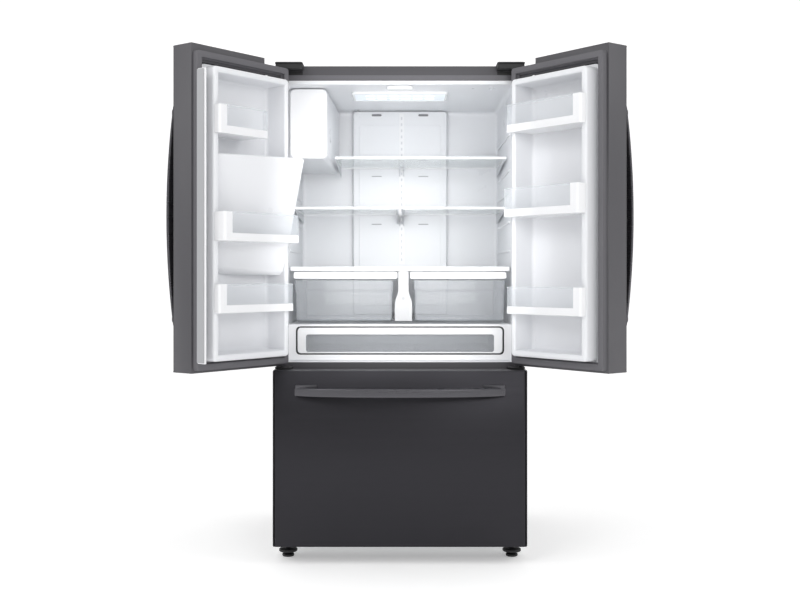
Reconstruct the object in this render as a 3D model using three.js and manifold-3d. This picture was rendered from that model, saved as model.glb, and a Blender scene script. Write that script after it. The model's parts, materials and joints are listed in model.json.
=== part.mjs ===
// French door refrigerator: steel case, two hinged doors over a freezer drawer. Millimetres, +Z up, front to -Y.
import * as THREE from "three";
import { ConvexGeometry } from "three/addons/geometries/ConvexGeometry.js";
import { mergeVertices } from "three/addons/utils/BufferGeometryUtils.js";
import Module from "manifold-3d";

const wasm = await Module();
wasm.setup();

// ---- Driving dimensions. X is measured from the middle, Y from the case front, Z from the floor.
const GAP = 0.3; // left between pieces that touch
const HALF_W = 454; // case, doors and drawer
const CASE_DEPTH = 735;
const CASE_BOTTOM = 40;
const CASE_TOP = 1795;
const SHEET = 1.2; // steel sheet
const WALL = 3; // moulded plastic

const DOOR_BOTTOM = 703;
const DOOR_TOP = 1800;
const DOOR_WIDTH = 451;
const DOOR_THICK = 100;
const DOOR_INNER_Y = -22; // the inner face of the closed door
const PIVOT_INSET = 16; // hinge pin from the door's side
const PIVOT_Y = -42;
const DOOR_OPEN_DEG = 128; // where the door stop holds it
const DYKE = { u: [46, 407], z: [742, 1710], height: 60, width: 22 }; // ridge round the door liner
const RECESS_N = -31; // floor of the door liner, below the door's inner face
const MULLION = { x: -10, y: 8, z: [745, 1703], thick: 13, from: 2.7, to: 38.5 };

const DRAWER_BOTTOM = 63.6;
const DRAWER_TOP = 689;

const ROOM = { x: 418, y: 680, z: [714, 1728] }; // fresh-food compartment
const COLD = { x: 415, y: 640, z: [72, 665], stepY: 480, stepZ: 275 }; // freezer compartment
const PANTRY = { front: 42, back: 600, z: [714.3, 848] };
const CRISPER = { front: 100, back: 560, z: [858, 1010], rim: 971, bar: [1016, 1042] };
const ICE = { x: [-417.5, -258], z: [1460, 1727.5], front: 90, back: 640 };
const SHELF_BACK = 640;
const LEG = { x: 410, y: 10 };
const ROLLER = { x: 400, y: 640, radius: 19 };

// ---- Solids
const paint = (color, roughness, metalness) => new THREE.MeshStandardMaterial({ color, roughness, metalness });
const MATERIAL = {
  graphite: () => paint(0x55555a, 0.42, 0.7),
  black: () => paint(0x1d1d1f, 0.6, 0),
  rubber: () => paint(0x3c3c40, 0.85, 0),
  white: () => paint(0xf1f3f5, 0.35, 0),
  grey: () => paint(0xb9bdc2, 0.45, 0),
  clear: () => paint(0xd5dfe6, 0.1, 0),
  zinc: () => paint(0xa7abb0, 0.4, 0.9),
  fins: () => paint(0xc3c8cc, 0.45, 0.9),
};

const solid = (geometry) => {
  const bare = geometry.clone();
  bare.deleteAttribute("normal");
  bare.deleteAttribute("uv");
  const merged = mergeVertices(bare, 1e-4);
  return new wasm.Manifold(
    new wasm.Mesh({
      numProp: 3,
      vertProperties: merged.attributes.position.array,
      triVerts: new Uint32Array(merged.index.array),
    }),
  );
};

const surface = (body) => {
  const mesh = body.getMesh();
  const geometry = new THREE.BufferGeometry();
  geometry.setAttribute("position", new THREE.BufferAttribute(mesh.vertProperties, 3));
  geometry.setIndex(new THREE.BufferAttribute(mesh.triVerts, 1));
  geometry.computeVertexNormals();
  return geometry;
};

const join = (...bodies) => bodies.reduce((whole, next) => whole.add(next));
const cut = (base, ...tools) => tools.reduce((whole, tool) => whole.subtract(tool), base);

const box = ([x0, x1], [y0, y1], [z0, z1]) =>
  solid(
    new THREE.BoxGeometry(x1 - x0, y1 - y0, z1 - z0).translate((x0 + x1) / 2, (y0 + y1) / 2, (z0 + z1) / 2),
  );

const AXES = {
  x: new THREE.Matrix4().makeBasis(
    new THREE.Vector3(0, 1, 0), new THREE.Vector3(0, 0, 1), new THREE.Vector3(1, 0, 0),
  ),
  y: new THREE.Matrix4().makeBasis(
    new THREE.Vector3(0, 0, 1), new THREE.Vector3(1, 0, 0), new THREE.Vector3(0, 1, 0),
  ),
  z: new THREE.Matrix4(),
};

// A flat outline pushed along an axis: (y, z) outlines go along x, (z, x) along y and (x, y) along z.
const prism = (outline, axis, [from, to], curveSegments = 3) =>
  solid(
    new THREE.ExtrudeGeometry(outline, { depth: to - from, bevelEnabled: false, curveSegments })
      .translate(0, 0, from)
      .applyMatrix4(AXES[axis]),
  );

const polygon = (...points) => new THREE.Shape(points.map(([a, b]) => new THREE.Vector2(a, b)));

const roundedRect = ([a0, a1], [b0, b1], r) => {
  const shape = new THREE.Shape();
  shape.absarc(a1 - r, b0 + r, r, -Math.PI / 2, 0);
  shape.absarc(a1 - r, b1 - r, r, 0, Math.PI / 2);
  shape.absarc(a0 + r, b1 - r, r, Math.PI / 2, Math.PI);
  shape.absarc(a0 + r, b0 + r, r, Math.PI, Math.PI * 1.5);
  return shape;
};

// A round bar along an axis, centred on the outline's (a, b).
const rod = (axis, [a, b], radius, span, sides = 16) => {
  const outline = Array.from({ length: sides }, (_, i) => {
    const turn = (2 * Math.PI * i) / sides;
    return [a + radius * Math.cos(turn), b + radius * Math.sin(turn)];
  });
  return prism(polygon(...outline), axis, span);
};

// An open-topped tray with walls all round and a floor.
const tray = ([x0, x1], [y0, y1], [z0, z1], wall = WALL) =>
  cut(box([x0, x1], [y0, y1], [z0, z1]), box([x0 + wall, x1 - wall], [y0 + wall, y1 - wall], [z0 + wall, z1 + 1]));

// A bar of rounded section, width by thick, swept along a bow.
const sweep = (path, width, thick, steps) => {
  const [a, b, c] = [width / 2, thick / 2, thick / 4];
  const section = polygon(
    [-a, -b + c], [-a + c, -b], [a - c, -b], [a, -b + c], [a, b - c], [a - c, b], [-a + c, b], [-a, b - c],
  );
  return solid(new THREE.ExtrudeGeometry(section, { steps, extrudePath: path, bevelEnabled: false }));
};

const add = (parent, name, body, material) => {
  const mesh = new THREE.Mesh(surface(body), material());
  mesh.name = name;
  parent.add(mesh);
  return mesh;
};

const cabinet = new THREE.Group();

// ---- Case: folded steel wrap with its front rails, back panel and base
function buildCase() {
  const [w, inner] = [HALF_W, HALF_W - SHEET];
  const wrap = cut(
    box([-w, w], [0, CASE_DEPTH], [CASE_BOTTOM, CASE_TOP]),
    box([-inner, inner], [-1, CASE_DEPTH + 1], [CASE_BOTTOM - 1, CASE_TOP - SHEET]),
  );
  const channel = (depth, [z0, z1]) =>
    cut(
      box([-w + 1, w - 1], [0, depth], [z0, z1]),
      box([-w - 1, w + 1], [1.5, depth + 1], [z0 + 1.5, z1 - 1.5]),
    );
  const rails = [channel(28, [1743, CASE_TOP]), channel(45, [673, 710.5]), channel(40, [CASE_BOTTOM, 62])];
  const legHoles = [-1, 1].map((s) => rod("z", [s * LEG.x, LEG.y], 9, [CASE_BOTTOM - 1, 63]));
  add(cabinet, "outer_case", cut(join(wrap, ...rails), ...legHoles), MATERIAL.graphite);

  const ribs = [-300, -100, 100, 300].map((x) => box([x - 15, x + 15], [736, 739], [300, 1750]));
  const panel = box([-w + 4, w - 4], [CASE_DEPTH + GAP, 736.3], [262, CASE_TOP - 5]);
  add(cabinet, "back_panel", join(panel, ...ribs), MATERIAL.zinc);
}

function buildBase() {
  const plate = box([-HALF_W + 3, HALF_W - 3], [41, 733], [CASE_BOTTOM, 41.5]);
  const brackets = [-1, 1].flatMap((s) =>
    [-17.5, 17.5].map((dx) => {
      const x = s * ROLLER.x + dx;
      const ear = box([x - 2, x + 2], [ROLLER.y - 16, ROLLER.y + 16], [9, CASE_BOTTOM + 1]);
      return cut(ear, rod("x", [ROLLER.y, ROLLER.radius], 4.6, [x - 3, x + 3]));
    }),
  );
  const compressorFeet = [-320, -180].map((x) => box([x - 20, x + 20], [600, 640], [41, 58]));
  add(cabinet, "base_pan", join(plate, ...brackets, ...compressorFeet), MATERIAL.zinc);

  for (const [side, name] of [[-1, "left"], [1, "right"]]) {
    const profile = [[0, 0], [20, 0], [22, 3], [22, 9], [11, 12], [11, 16], [34, 18], [34, 28], [8, 31], [8, 56], [0, 56]];
    const points = profile.map(([r, z]) => new THREE.Vector2(r, z));
    const leg = new THREE.LatheGeometry(points, 20).rotateX(Math.PI / 2).translate(side * LEG.x, LEG.y, 0);
    add(cabinet, `front_leg_${name}`, solid(leg), MATERIAL.black);

    const x = side * ROLLER.x;
    const tyre = rod("x", [ROLLER.y, ROLLER.radius], ROLLER.radius, [x - 13, x + 13], 24);
    const pin = rod("x", [ROLLER.y, ROLLER.radius], 4, [x - 22, x + 22], 12);
    add(cabinet, `rear_roller_${name}`, join(tyre, pin), MATERIAL.black);
  }
}

// ---- Liners: thin moulded shells with a flange on the case front
function buildLiners() {
  const { x, y, z } = ROOM;
  const shell = box([-x - WALL, x + WALL], [1, y + WALL], [z[0] - WALL, z[1] + WALL]);
  const flange = box([-446, 446], [GAP, 3], [z[0] - WALL, 1742.5]);
  const room = box([-x, x], [-1, y], z);
  add(cabinet, "fresh_food_liner", cut(join(shell, flange), room), MATERIAL.white);

  const c = COLD;
  const upper = box([-c.x - WALL, c.x + WALL], [1, c.y + WALL], [c.stepZ - WALL, c.z[1] + WALL]);
  const lower = box([-c.x - WALL, c.x + WALL], [1, c.stepY + WALL], [c.z[0] - WALL, c.z[1]]);
  const coldFlange = box([-446, 446], [GAP, 3], [62.5, 672.5]);
  const coldRoom = join(
    box([-c.x, c.x], [-1, c.y], [c.stepZ, c.z[1]]),
    box([-c.x, c.x], [-1, c.stepY], [c.z[0], c.z[1] - 1]),
  );
  add(cabinet, "freezer_liner", cut(join(upper, lower, coldFlange), coldRoom), MATERIAL.white);
}

// ---- Machine space at the bottom of the back
function fanWheel(radius, hub, depth, blades) {
  const wheel = Array.from({ length: blades }, (_, i) => {
    const blade = new THREE.BoxGeometry(radius - hub + 6, radius * 0.6, 2.5);
    blade.rotateX(0.5).translate((radius + hub) / 2 - 3, 0, 0).rotateZ((2 * Math.PI * i) / blades);
    return solid(blade);
  });
  return join(rod("z", [0, 0], hub, [-depth / 2, depth / 2], 16), ...wheel);
}

// A block of plates on two tubes, as a coil with its fins is.
function finBlock([x0, x1], [y0, y1], [z0, z1], plates) {
  const pitch = (x1 - x0) / plates;
  const fins = Array.from({ length: plates }, (_, i) =>
    box([x0 + pitch * i, x0 + pitch * i + pitch / 6], [y0, y1], [z0, z1]),
  );
  const [y, zLow, zHigh] = [(y0 + y1) / 2, z0 + (z1 - z0) * 0.25, z0 + (z1 - z0) * 0.75];
  const tubes = [zLow, zHigh].map((z) => rod("x", [y, z], 5, [x0 - 12, x1 + 4], 8));
  return join(...fins, ...tubes);
}

function buildMachine() {
  const dome = (profile) =>
    solid(
      new THREE.LatheGeometry(profile.map(([r, z]) => new THREE.Vector2(r, z)), 20)
        .rotateX(Math.PI / 2)
        .translate(-250, 620, 62),
    );
  const shell = cut(
    dome([[0, 0], [62, 0], [80, 20], [84, 70], [80, 120], [60, 152], [24, 166], [0, 168]]),
    dome([[0, -1], [55, -1], [73, 22], [77, 70], [73, 117], [54, 145], [22, 158], [0, 160]]),
  );
  const feet = cut(box([-340, -160], [604, 636], [58.4, 64]), rod("z", [-250, 620], 12, [58, 65], 8));
  const stub = rod("z", [-200, 620], 6, [180, 245], 8);
  add(cabinet, "compressor", join(shell, feet, stub), MATERIAL.black);
  add(cabinet, "condenser", finBlock([120, 380], [560, 700], [60, 210], 13), MATERIAL.black);
  const fan = add(cabinet, "condenser_fan", fanWheel(78, 22, 24, 5), MATERIAL.black);
  fan.rotation.y = Math.PI / 2;
  fan.position.set(0, 625, 140);

  const slots = Array.from({ length: 16 }, (_, i) => {
    const x = -390 + i * 46;
    return box([x, x + 26], [734, 739], [80, 200]);
  });
  const cover = box([-HALF_W + 4, HALF_W - 4], [CASE_DEPTH + GAP, 738], [46, 260]);
  const cordInlet = rod("y", [232, 405], 12, [737, 752], 12);
  const waterInlet = rod("y", [232, -425], 9, [737, 758], 12);
  add(cabinet, "machine_cover", join(cut(cover, ...slots), cordInlet, waterInlet), MATERIAL.zinc);
}

// ---- Hinges
function buildHinges() {
  for (const [side, name] of [[-1, "left"], [1, "right"]]) {
    const pivot = side * (HALF_W - PIVOT_INSET);
    const span = (a, b) => (side < 0 ? [-a, -b] : [b, a]);
    const arm = box(span(447, 372), [-54, 60], [CASE_TOP + GAP, 1798]);
    const pin = rod("z", [pivot, PIVOT_Y], 6, [1756, 1797]);
    add(cabinet, `top_hinge_${name}`, join(arm, pin), MATERIAL.zinc);

    const skirt = box(span(452, 352), [-62, -0.5], [1776, 1802]);
    const lid = box(span(452, 352), [-1, 70], [CASE_TOP + GAP, 1802]);
    const room = box(span(449, 355), [-59, 67], [1770, 1799.5]);
    add(cabinet, `hinge_cover_${name}`, cut(join(skirt, lid), room), MATERIAL.black);

    const shelf = box(span(452, 392), [-58, -GAP], [692, 697]);
    const flange = box(span(452, 392), [-4, -GAP], [676, 693]);
    const lowerPin = rod("z", [pivot, PIVOT_Y], 6, [696, 722]);
    add(cabinet, `mid_hinge_${name}`, join(shelf, flange, lowerPin), MATERIAL.black);
  }
}

// ---- Fresh-food interior
function buildAirDuct() {
  const [x, back] = [200, ROOM.y - GAP];
  const cover = cut(
    box([-x, x], [SHELF_BACK + 4, back], [862, 1726]),
    box([-x + WALL, x - WALL], [SHELF_BACK + 7, back + 1], [865, 1723]),
  );
  const vents = [-150, 60].flatMap((left) =>
    [1320, 1520, 1660].map((z) => box([left, left + 90], [SHELF_BACK + 3, SHELF_BACK + 8], [z, z + 12])),
  );
  add(cabinet, "evaporator_cover", cut(cover, ...vents), MATERIAL.white);
  add(cabinet, "evaporator_coil", finBlock([-160, 160], [SHELF_BACK + 12, back - 4], [900, 1200], 16), MATERIAL.fins);
  const fan = add(cabinet, "evaporator_fan", fanWheel(70, 20, 12, 5), MATERIAL.black);
  fan.rotation.x = Math.PI / 2;
  fan.position.set(0, SHELF_BACK + 22, 1420);
}

// A glass shelf in a moulded rim, held by a slanted bracket at each end.
function shelf([x0, x1], front, top) {
  const plate = box([x0, x1], [front + 2, SHELF_BACK], [top - 6, top - 1]);
  const lip = box([x0, x1], [front, front + 10], [top - 12, top + 1]);
  const bracket = polygon([front + 40, top - 5], [SHELF_BACK, top - 46], [SHELF_BACK, top - 5]);
  const arms = [x0, x1 - 5].map((x) => prism(bracket, "x", [x, x + 5]));
  return join(plate, lip, ...arms);
}

function buildShelves() {
  add(cabinet, "top_shelf", shelf([-252, 412], 228, 1488), MATERIAL.clear);
  add(cabinet, "middle_shelf_left", shelf([-412, -8], 200, 1292), MATERIAL.clear);
  add(cabinet, "middle_shelf_right", shelf([8, 412], 200, 1292), MATERIAL.clear);
  const lens = roundedRect([150, 330], [-184, 184], 20);
  add(cabinet, "light_lens", prismFromYX(lens, [1718, 1727.5]), MATERIAL.clear);
  add(cabinet, "mullion_guide", box([-50, 50], [8, 60], [1712, 1727.5]), MATERIAL.grey);
}

// An outline drawn as (y, x) and pushed up along z.
function prismFromYX(outline, span) {
  const points = outline.getPoints(3).map((p) => [p.y, p.x]);
  return prism(polygon(...points), "z", span);
}

function buildCrispers() {
  const { front, back, z, rim, bar } = CRISPER;
  const plate = box([-412, 412], [front + 12, SHELF_BACK], [1056, 1061]);
  const lip = box([-412, 412], [front + 8, front + 18], [1045, 1062]);
  const divider = box([11, 19], [front + 14, SHELF_BACK], [858, 1057]);
  const post = polygon([858, -20], [858, 46], [930, 46], [965, 34], [1050, 34], [1050, -6], [965, -6], [930, -20]);
  const crisperCover = join(plate, lip, divider, prism(post, "y", [front + 6, front + 16]));
  add(cabinet, "crisper_cover", crisperCover, MATERIAL.clear);

  for (const [name, [x0, x1], barSpan] of [
    ["crisper_left", [-396, -24], [-399, -10]],
    ["crisper_right", [50, 396], [38, 399]],
  ]) {
    const bin = tray([x0, x1], [front, back], [z[0] + 1, bar[0] + 4]);
    const window = box([x0 + 14, x1 - 14], [front - 1, front + 4], [rim, bar[0]]);
    const low = box([x0 - 1, x1 + 1], [front + 30, back + 1], [z[1], bar[1]]);
    const handle = box(barSpan, [front - 4, front + 3], bar);
    add(cabinet, name, join(cut(bin, window, low), handle), MATERIAL.clear);
  }
}

function buildPantry() {
  const { front, back, z } = PANTRY;
  const opening = box([-384, 384], [front - 1, front + 30], [737, 839]);
  const frame = cut(box([-417, 417], [front, front + 16], z), opening);
  const roof = box([-417, 417], [front, back], [z[1] - 5, z[1] - 1]);
  const cheeks = [[-417, -404], [404, 417]].map((x) => box(x, [front, back], [z[0], z[1] - 2]));
  add(cabinet, "pantry_housing", join(frame, roof, ...cheeks), MATERIAL.white);

  const body = tray([-376, 376], [front + 8, back - 30], [742, 832]);
  const face = box([-380, 380], [front - 2, front + 9], [740, 836]);
  add(cabinet, "pantry_drawer", join(body, face), MATERIAL.clear);
}

// ---- Ice maker in the upper left corner
function buildIceMaker() {
  const { x, z, front, back } = ICE;
  const [mid, trayZ] = [-338, 1650];
  const shell = cut(
    box(x, [front, back], z),
    box([x[0] + 8, x[1] - 8], [front - 1, back - 8], [z[0] + 8, z[1] - 8]),
    box([mid - 40, mid + 40], [front + 20, front + 100], [z[0] - 1, z[0] + 9]),
  );
  const gearbox = cut(
    box([mid - 55, mid + 55], [back - 78, back - 7], [1600, 1700]),
    rod("y", [trayZ, mid], 7, [back - 79, back - 60]),
  );
  add(cabinet, "ice_maker_housing", join(shell, gearbox), MATERIAL.white);

  const mould = box([mid - 46, mid + 46], [240, back - 82], [trayZ - 15, trayZ + 12]);
  const pockets = Array.from({ length: 7 }, (_, i) => 250 + i * 43).flatMap((y) =>
    [mid - 40, mid + 4].map((px) => box([px, px + 36], [y, y + 36], [trayZ - 10, trayZ + 13])),
  );
  const shaft = rod("y", [trayZ, mid], 6, [back - 84, back - 62]);
  add(cabinet, "ice_tray", join(cut(mould, ...pockets), shaft), MATERIAL.grey);

  const bucket = tray([x[0] + 14, x[1] - 14], [front - 4, 540], [z[0] + 12, 1588]);
  const drop = box([mid - 35, mid + 35], [front + 25, front + 95], [z[0] + 11, z[0] + 16]);
  const face = prism(roundedRect([z[0] + 2, z[1] - 2], [-411, x[1] - 1.5], 25), "y", [75, 87]);
  add(cabinet, "ice_bucket", join(cut(bucket, drop), face), MATERIAL.white);
}

// ---- Freezer drawer
function buildFreezerDrawer() {
  const [w, inner] = [HALF_W, DOOR_INNER_Y];
  const plan = polygon(
    [-w, inner], [-w, -108], [-w + 4, -118], [-w + 14, -122], [w - 14, -122], [w - 4, -118], [w, -108], [w, inner],
  );
  const hollow = box([-w + 2.5, w - 2.5], [-119.5, inner - 2.5], [DRAWER_BOTTOM + 2.5, DRAWER_TOP - 2.5]);
  const backOpening = box([-420, 420], [inner - 4, inner + 1], [92, 660]);
  const front = cut(prism(plan, "z", [DRAWER_BOTTOM, DRAWER_TOP]), hollow, backOpening);
  add(cabinet, "freezer_drawer_front", front, MATERIAL.graphite);

  const plate = box([-419.5, 419.5], [inner - 3, inner], [92.5, 659.5]);
  const raised = box([-395, 395], [inner - 1, inner + 14], [100, 640]);
  const pocket = box([-391, 391], [inner - 5, inner + 10], [104, 636]);
  add(cabinet, "freezer_drawer_liner", cut(join(plate, raised), pocket), MATERIAL.white);

  const ring = cut(
    box([-443, 443], [inner + GAP, -0.7], [66, 670]),
    box([-421, 421], [inner - 1, 1], [88, 648]),
  );
  add(cabinet, "freezer_drawer_gasket", ring, MATERIAL.rubber);

  const bow = new THREE.CubicBezierCurve3(
    new THREE.Vector3(-370, -122 - GAP - 6, 616), new THREE.Vector3(-250, -210, 616),
    new THREE.Vector3(250, -210, 616), new THREE.Vector3(370, -122 - GAP - 6, 616),
  );
  const lugs = [-1, 1].map((s) => box([s * 350 - 14, s * 350 + 14], [-138, -122 - GAP], [603, 629]));
  add(cabinet, "freezer_handle", join(sweep(bow, 31, 14, 16), ...lugs), MATERIAL.graphite);

  const basket = tray([-378, 378], [-7, 452], [92, 340]);
  const runners = [[-390, -377], [377, 390]].map((x) => box(x, [-7, 452], [250, 268]));
  add(cabinet, "freezer_basket", join(basket, ...runners), MATERIAL.clear);
  add(cabinet, "freezer_tray", tray([-400, 400], [20, 380], [390 + GAP, 500]), MATERIAL.clear);

  for (const [name, x] of [["freezer_rail_left", [-414.7, -392]], ["freezer_rail_right", [392, 414.7]]]) {
    add(cabinet, name, box(x, [25, 470], [246, 274]), MATERIAL.zinc);
  }
}

// ---- Doors. u runs from the hinge side to the free side, n from the inner face into the room.
function doorFrame(side) {
  const group = new THREE.Group();
  group.position.set(side * (HALF_W - PIVOT_INSET), PIVOT_Y, 0);
  group.rotation.z = THREE.MathUtils.degToRad(side * DOOR_OPEN_DEG);
  cabinet.add(group);
  const atX = (u) => -side * (u - PIVOT_INSET);
  const atY = (n) => n + DOOR_INNER_Y - PIVOT_Y;
  const sorted = (a, b) => (a < b ? [a, b] : [b, a]);
  const block = ([u0, u1], [n0, n1], z) => box(sorted(atX(u0), atX(u1)), [atY(n0), atY(n1)], z);
  return { group, side, atX, atY, block };
}

function doorPanel(door, hasDispenser) {
  const { block, atX, atY } = door;
  const plan = [[0, 0], [0, -86], [4, -96], [14, -100], [437, -100], [447, -96], [451, -86], [451, 0]];
  const outline = polygon(...plan.map(([u, n]) => [atX(u), atY(n)]));
  const cuts = [
    block([2.5, DOOR_WIDTH - 2.5], [-DOOR_THICK + 2.5, -2.5], [DOOR_BOTTOM + 2.5, 1769.5]),
    block([112.5, DOOR_WIDTH - 2.5], [-DOOR_THICK + 2.5, -2.5], [1700, DOOR_TOP - 2.5]),
    block([33.5, 417.5], [-4, 1], [729.5, 1740.5]),
    block([-1, 110], [-DOOR_THICK - 1, 1], [1772, DOOR_TOP + 1]),
    rod("z", [0, 0], 6.6, [DOOR_BOTTOM - 1, 1773]),
  ];
  if (hasDispenser) cuts.push(block([115.5, 335.5], [-DOOR_THICK - 1, -90], [1044.5, 1405.5]));
  return cut(prism(outline, "z", [DOOR_BOTTOM, DOOR_TOP]), ...cuts);
}

// The thin liner: a flat flange, a ridge round the edge and a sunk floor, hollow from behind.
function doorLiner(door) {
  const { block } = door;
  const { u, z, height, width } = DYKE;
  const inset = ([a, b], d) => [a + d, b - d];
  const pan = cut(
    block(u, [RECESS_N - WALL, height], z),
    block(inset(u, width), [RECESS_N, height + 1], inset(z, width)),
  );
  const behind = cut(
    block(inset(u, WALL), [RECESS_N - 9, height - WALL], inset(z, WALL)),
    block(inset(u, width - WALL), [RECESS_N - 10, height - 2], inset(z, width - WALL)),
  );
  const flange = cut(block([34, 417], [-3, 0], [730, 1740]), block(inset(u, 1), [-4, 1], inset(z, 1)));
  return join(cut(pan, behind), flange);
}

const hull = (door, points) =>
  solid(new ConvexGeometry(points.map(([u, n, z]) => new THREE.Vector3(door.atX(u), door.atY(n), z))));

// The dispenser's back pushes the liner out, deepest at the top near the hinge where the ice comes down.
function dispenserBulge(door) {
  const floor = RECESS_N + 1;
  return hull(door, [
    [60, 150, 1437], [100, 152, 1437], [235, 92, 1437], [390, 50, 1437], [390, floor, 1437], [60, floor, 1437],
    [60, 48, 1030], [60, floor, 1030], [300, floor, 1030], [390, floor, 1060],
  ]);
}

function addDispenserBulge(door, liner) {
  const back = RECESS_N - 12;
  const inner = hull(door, [
    [69, 144, 1433], [100, 147, 1433], [233, 87, 1433], [382, 46, 1433], [382, back, 1433], [69, back, 1433],
    [69, 40, 1036], [69, back, 1036], [298, back, 1036], [382, back, 1066],
  ]);
  const chute = door.block([76, 136], [50, 118], [1425, 1440]);
  const slots = door.block([75, 375], [-60, RECESS_N + 3], [1070, 1425]);
  return cut(join(liner, dispenserBulge(door)), inner, chute, slots);
}

// A bin in front of the bulge is cut away where the bulge stands, with a small gap.
function clearOfBulge(door, bin) {
  const bulge = dispenserBulge(door);
  const root = door.block([59, 391], [RECESS_N - 5, RECESS_N + 2], [1030, 1438]);
  return cut(bin, bulge.translate([0, 1, 0]), bulge.translate([door.side, 0.5, 0]), root);
}

function doorGasket(door) {
  return cut(door.block([8, 443], [GAP, 21.3], [712, 1775]), door.block([30, 421], [-1, 22], [734, 1742]));
}

// A door bin: a narrow rear part between the ridges and a wider front part over them.
function doorBin(door, [u0, u1], [z0, z1], reach) {
  const { width, height } = DYKE;
  const [front, wall] = [height + 0.6, WALL];
  const [r0, r1] = [Math.max(u0, DYKE.u[0] + width + 0.6), Math.min(u1, DYKE.u[1] - width - 0.6)];
  const outer = join(
    door.block([r0, r1], [RECESS_N + 0.6, front + 1], [z0, z1]),
    door.block([u0, u1], [front, reach], [z0, z1]),
  );
  const inner = join(
    door.block([r0 + wall, r1 - wall], [RECESS_N + 0.6 + wall, front + wall + 1], [z0 + wall, z1 + 1]),
    door.block([u0 + wall, u1 - wall], [front + wall, reach - wall], [z0 + wall, z1 + 1]),
  );
  return cut(outer, inner);
}

function doorHandle(door) {
  const [x, face, reach] = [door.atX(421), door.atY(-DOOR_THICK) - GAP, 53];
  const at = (z, out) => new THREE.Vector3(x, face - out, z);
  const bow = new THREE.CubicBezierCurve3(at(858, 7), at(1106, reach), at(1354, reach), at(1602, 7));
  const lugs = [878, 1582].map((z) => box([x - 12, x + 12], [face - 18, face], [z - 14, z + 14]));
  return join(sweep(bow, 30, 14, 18), ...lugs);
}

function buildDispenser(door) {
  const [n0, slope] = [-DOOR_THICK, 47];
  const side = (points) => polygon(...points.map(([n, z]) => [door.atY(n), z]));
  const span = ([u0, u1]) => [Math.min(door.atX(u0), door.atX(u1)), Math.max(door.atX(u0), door.atX(u1))];
  const outer = prism(side([[n0, 1048], [-37, 1048], [-37 + slope, 1402], [n0, 1402]]), "x", span([119, 332]));
  const cavity = prism(side([[n0 - 9, 1052], [-41, 1052], [-41 + slope, 1398], [n0 - 9, 1398]]), "x", span([123, 328]));
  const bezel = door.block([108, 343], [n0 - 4, n0 - GAP], [1037, 1413]);
  const controls = door.block([122, 329], [n0 - 3, -30], [1310, 1400]);
  const spout = rod("z", [door.atX(225), door.atY(-62)], 22, [1285, 1312], 12);
  const ears = [[176, 184.5], [265.5, 274]].map((u) => door.block(u, [-59, -45], [1266, 1312]));
  const body = join(cut(join(outer, bezel), cavity), controls, spout, ...ears);
  add(door.group, "dispenser_housing", body, MATERIAL.black);

  const paddle = join(
    door.block([196, 254], [-53.5, -50.5], [1180, 1268]),
    door.block([205, 245], [-55, -49], [1262, 1272]),
    rod("x", [door.atY(-52), 1274], 4, span([186, 264]), 10),
  );
  add(door.group, "dispenser_lever", paddle, MATERIAL.black);
}

// The folding strip that closes the slot between the doors, hinged on the left door's free side.
function buildMullion(door) {
  const { x, y, z, thick, from, to } = MULLION;
  const pivotX = x + HALF_W - PIVOT_INSET;
  const pivotY = y - PIVOT_Y;
  const strip = box([pivotX - thick / 2, pivotX + thick / 2], [from - PIVOT_Y, to - PIVOT_Y], z);
  const pins = [[z[0] - 8, z[0] + 1], [z[1] - 1, z[1] + 6.6]].map((span) => rod("z", [pivotX, pivotY], 3, span, 10));
  add(door.group, "mullion_flap", join(strip, ...pins), MATERIAL.grey);
  const lugX = [DYKE.u[1] - PIVOT_INSET - 2, pivotX + 6];
  return [[z[0] - 8, z[0] - 1], [z[1] + 1, z[1] + 7]].map((span) =>
    cut(box(lugX, [pivotY - 7, pivotY + 7], span), rod("z", [pivotX, pivotY], 3.6, [span[0] - 1, span[1] + 1], 10)),
  );
}

function buildDoor(side, name, bins) {
  const door = doorFrame(side);
  const isLeft = side < 0;
  add(door.group, `${name}_panel`, doorPanel(door, isLeft), MATERIAL.graphite);
  const lugs = isLeft ? buildMullion(door) : [];
  const plain = doorLiner(door);
  const liner = isLeft ? join(addDispenserBulge(door, plain), ...lugs) : plain;
  add(door.group, `${name}_liner`, liner, MATERIAL.white);
  add(door.group, `${name}_gasket`, doorGasket(door), MATERIAL.rubber);
  add(door.group, `${name}_handle`, doorHandle(door), MATERIAL.graphite);
  if (isLeft) buildDispenser(door);
  for (const [level, u, z, reach] of bins) {
    const bin = doorBin(door, u, z, reach);
    add(door.group, `${name}_bin_${level}`, isLeft ? clearOfBulge(door, bin) : bin, MATERIAL.clear);
  }
}

buildCase();
buildBase();
buildLiners();
buildMachine();
buildHinges();
buildAirDuct();
buildShelves();
buildCrispers();
buildPantry();
buildIceMaker();
buildFreezerDrawer();
buildDoor(-1, "left_door", [
  ["top", [176, 404], [1500, 1596], 86],
  ["middle", [48, 404], [1143, 1240], 112],
  ["bottom", [48, 404], [903, 1000], 85],
]);
buildDoor(1, "right_door", [
  ["top", [48, 404], [1534, 1632], 86],
  ["middle", [48, 404], [1235, 1335], 99],
  ["bottom", [48, 404], [893, 989], 85],
]);

// The origin is the middle of the footprint, on the floor.
cabinet.updateMatrixWorld(true);
const footprint = new THREE.Box3().setFromObject(cabinet, true).getCenter(new THREE.Vector3());
cabinet.position.set(-footprint.x, -footprint.y, 0);

const refrigerator = new THREE.Group();
refrigerator.add(cabinet);
export default refrigerator;
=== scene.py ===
"""French door refrigerator: the finished visual model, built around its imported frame."""

from __future__ import annotations

import json
import logging
import math
from dataclasses import dataclass
from enum import Enum
from typing import Callable, Iterable, Sequence

import bmesh
import bpy
from mathutils import Matrix, Vector


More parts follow.
